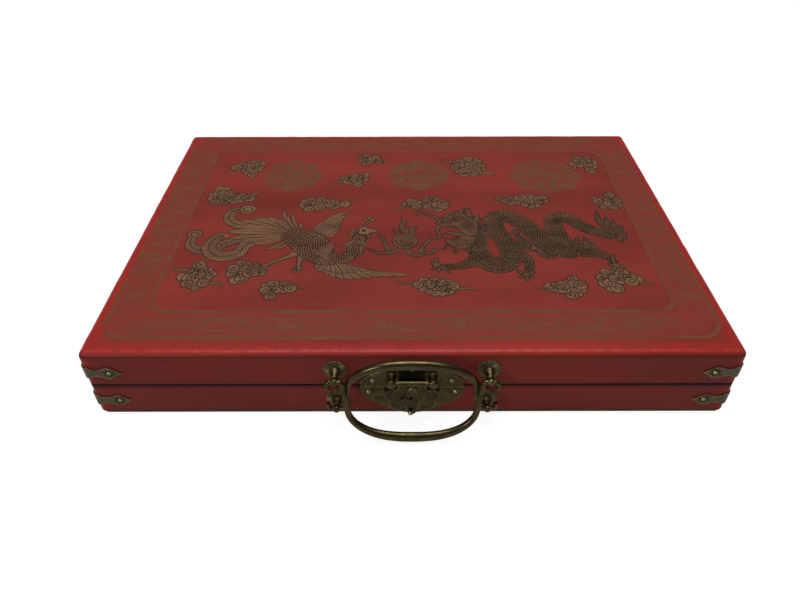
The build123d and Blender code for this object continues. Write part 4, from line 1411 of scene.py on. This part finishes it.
# %% [markdown]
# ## Turned and stamped brass
# Some pieces of brass are finer than the model's. The rosettes behind the handle posts are domes
# with twenty-eight sharp flutes, a stout sleeve stands between each rosette and the ball of its
# post, and the two posts of the hasp are straight barrels with a wide, low dome. All are turned
# about an axis that stands square to the front wall, and grime fills the flutes.

# %% Rosettes and hasp posts
turned_steps = 224
flutes = 28
flute_sharpness = 0.8
scallop_share = 0.035


def turned(name, body, node, finish, profile, scalloped_from=None):
    """A turned piece about a node's axis, from (radius, height) or (radius, height, flute depth)."""
    low, high = [Vector(corner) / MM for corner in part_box(node)]
    middle = (low + high) / 2
    sheet = bmesh.new()
    grime = sheet.verts.layers.float.new("grime")
    rings = []
    for radius, height, *flute in profile:
        depth = flute[0] if flute else 0.0
        scallop = scallop_share if scalloped_from and radius > scalloped_from else 0.0
        verts = []
        for step in range(turned_steps):
            turn = 2 * math.pi * step / turned_steps
            groove = 1 - abs(math.sin(flutes * turn / 2)) ** flute_sharpness
            reach = radius * (1 - scallop * groove)
            spot = (
                middle.x + reach * math.cos(turn),
                -half_depth - height + depth * groove,
                middle.z + reach * math.sin(turn),
            )
            vert = sheet.verts.new(Vector(spot) * MM)
            vert[grime] = groove if depth > 0 else 0.0
            verts.append(vert)
        rings.append(verts)
    for first, second in zip(rings, rings[1:] + rings[:1]):
        for i in range(turned_steps):
            j = (i + 1) % turned_steps
            sheet.faces.new((first[i], first[j], second[j], second[i]))
    bmesh.ops.remove_doubles(sheet, verts=sheet.verts[:], dist=1e-7)
    bmesh.ops.dissolve_degenerate(sheet, dist=1e-8, edges=sheet.edges[:])
    bmesh.ops.recalc_face_normals(sheet, faces=sheet.faces[:])
    piece = from_sheet(name, sheet, finish)
    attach(piece, body)
    return piece


rosette_profile = (
    (1.25, 0.0), (6.5, 0.0), (6.85, 0.08), (6.9, 0.3, 0.05), (6.86, 0.52, 0.3),
    (6.7, 0.66, 0.42), (6.2, 0.84, 0.5), (5.3, 1.08, 0.5), (4.4, 1.3, 0.42), (3.7, 1.43, 0.28),
    (3.3, 1.49, 0.1), (3.1, 1.5), (1.25, 1.5),
)
for pair, body, off in (("upper", "lid", 10.0), ("lower", "base", 8.8)):
    sleeve_profile = (
        (0.0, 2.0), (3.25, 2.0), (3.3, 2.5), (3.0, 3.1), (2.5, 3.7),
        (2.3, 4.5), (2.2, off - 3.2), (2.15, off - 2.6), (1.8, off - 2.1),
        (0.0, off - 2.0),
    )
    for hand in ("left", "right"):
        node = f"{pair}_rosette_{hand}"
        rosette = turned(f"fluted_{node}", body, node, rosette_brass, rosette_profile, 6.0)
        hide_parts(node)
        turned(f"{pair}_sleeve_{hand}", body, node, antique_brass, sleeve_profile)
post_profile = (
    (0.0, 1.0), (2.85, 1.0), (3.0, 1.12), (2.95, 1.5), (2.5, 1.8),
    (2.38, 2.2), (2.35, 7.0), (2.45, 7.15), (2.9, 7.25), (3.02, 7.45),
    (3.02, 7.9), (2.9, 8.3), (2.5, 8.8), (1.9, 9.15), (1.0, 9.34),
    (0.0, 9.4),
)
for hand in ("left", "right"):
    node = f"hasp_post_{hand}"
    post = turned(f"barrel_{node}", "lid", node, antique_brass, post_profile)
    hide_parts(node)
print("ten turned pieces")

# %% [markdown]
# The punch that set each corner strap's nail also pressed a star of eight petals round it. The dark
# of the antique bath stays in them.

# %% Stars round the strap nails
strap_nail_at = 15.2
strap_sheet = 0.8
petals = 8
petal_radii = (1.4, 2.4, 3.3)
star_lift = 0.012
star_strokes = []
for step in range(petals):
    turn = 2 * math.pi * (step + 0.5) / petals
    ends = [(reach * math.cos(turn), reach * math.sin(turn)) for reach in petal_radii]
    star_strokes += [(ends[:2], 0.5), (ends[1:], 0.3)]
star_stamp = stamp_of("star_stamp", *star_strokes)


def stars_on_walls(body, level):
    """Stars on the corner straps of one tray, wall by wall."""
    for wall, turn, reach, off in (
        ("front", 0.0, half_width, half_depth),
        ("right", 90.0, half_depth, half_width),
        ("back", 180.0, half_width, half_depth),
        ("left", 270.0, half_depth, half_width),
    ):
        marks = [((side * (reach - strap_nail_at), level), 0.0, 1.0) for side in (-1, 1)]
        outward = Matrix.Translation((0, -(off + strap_sheet) * MM, 0))
        upright = Matrix.Rotation(math.radians(90), 4, "X")
        place = Matrix.Rotation(math.radians(turn), 4, "Z") @ outward @ upright
        name = f"{body}_stars_{wall}"
        piece = stamped(name, marks, star_stamp, stamped_brass, star_lift)
        piece.data.transform(place)
        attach(piece, body)


for body in ("lid", "base"):
    strap_low, strap_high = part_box(f"{body}_strap_front_left")
    stars_on_walls(body, (strap_low[2] + strap_high[2]) / 2 / MM)
print("stars pressed")
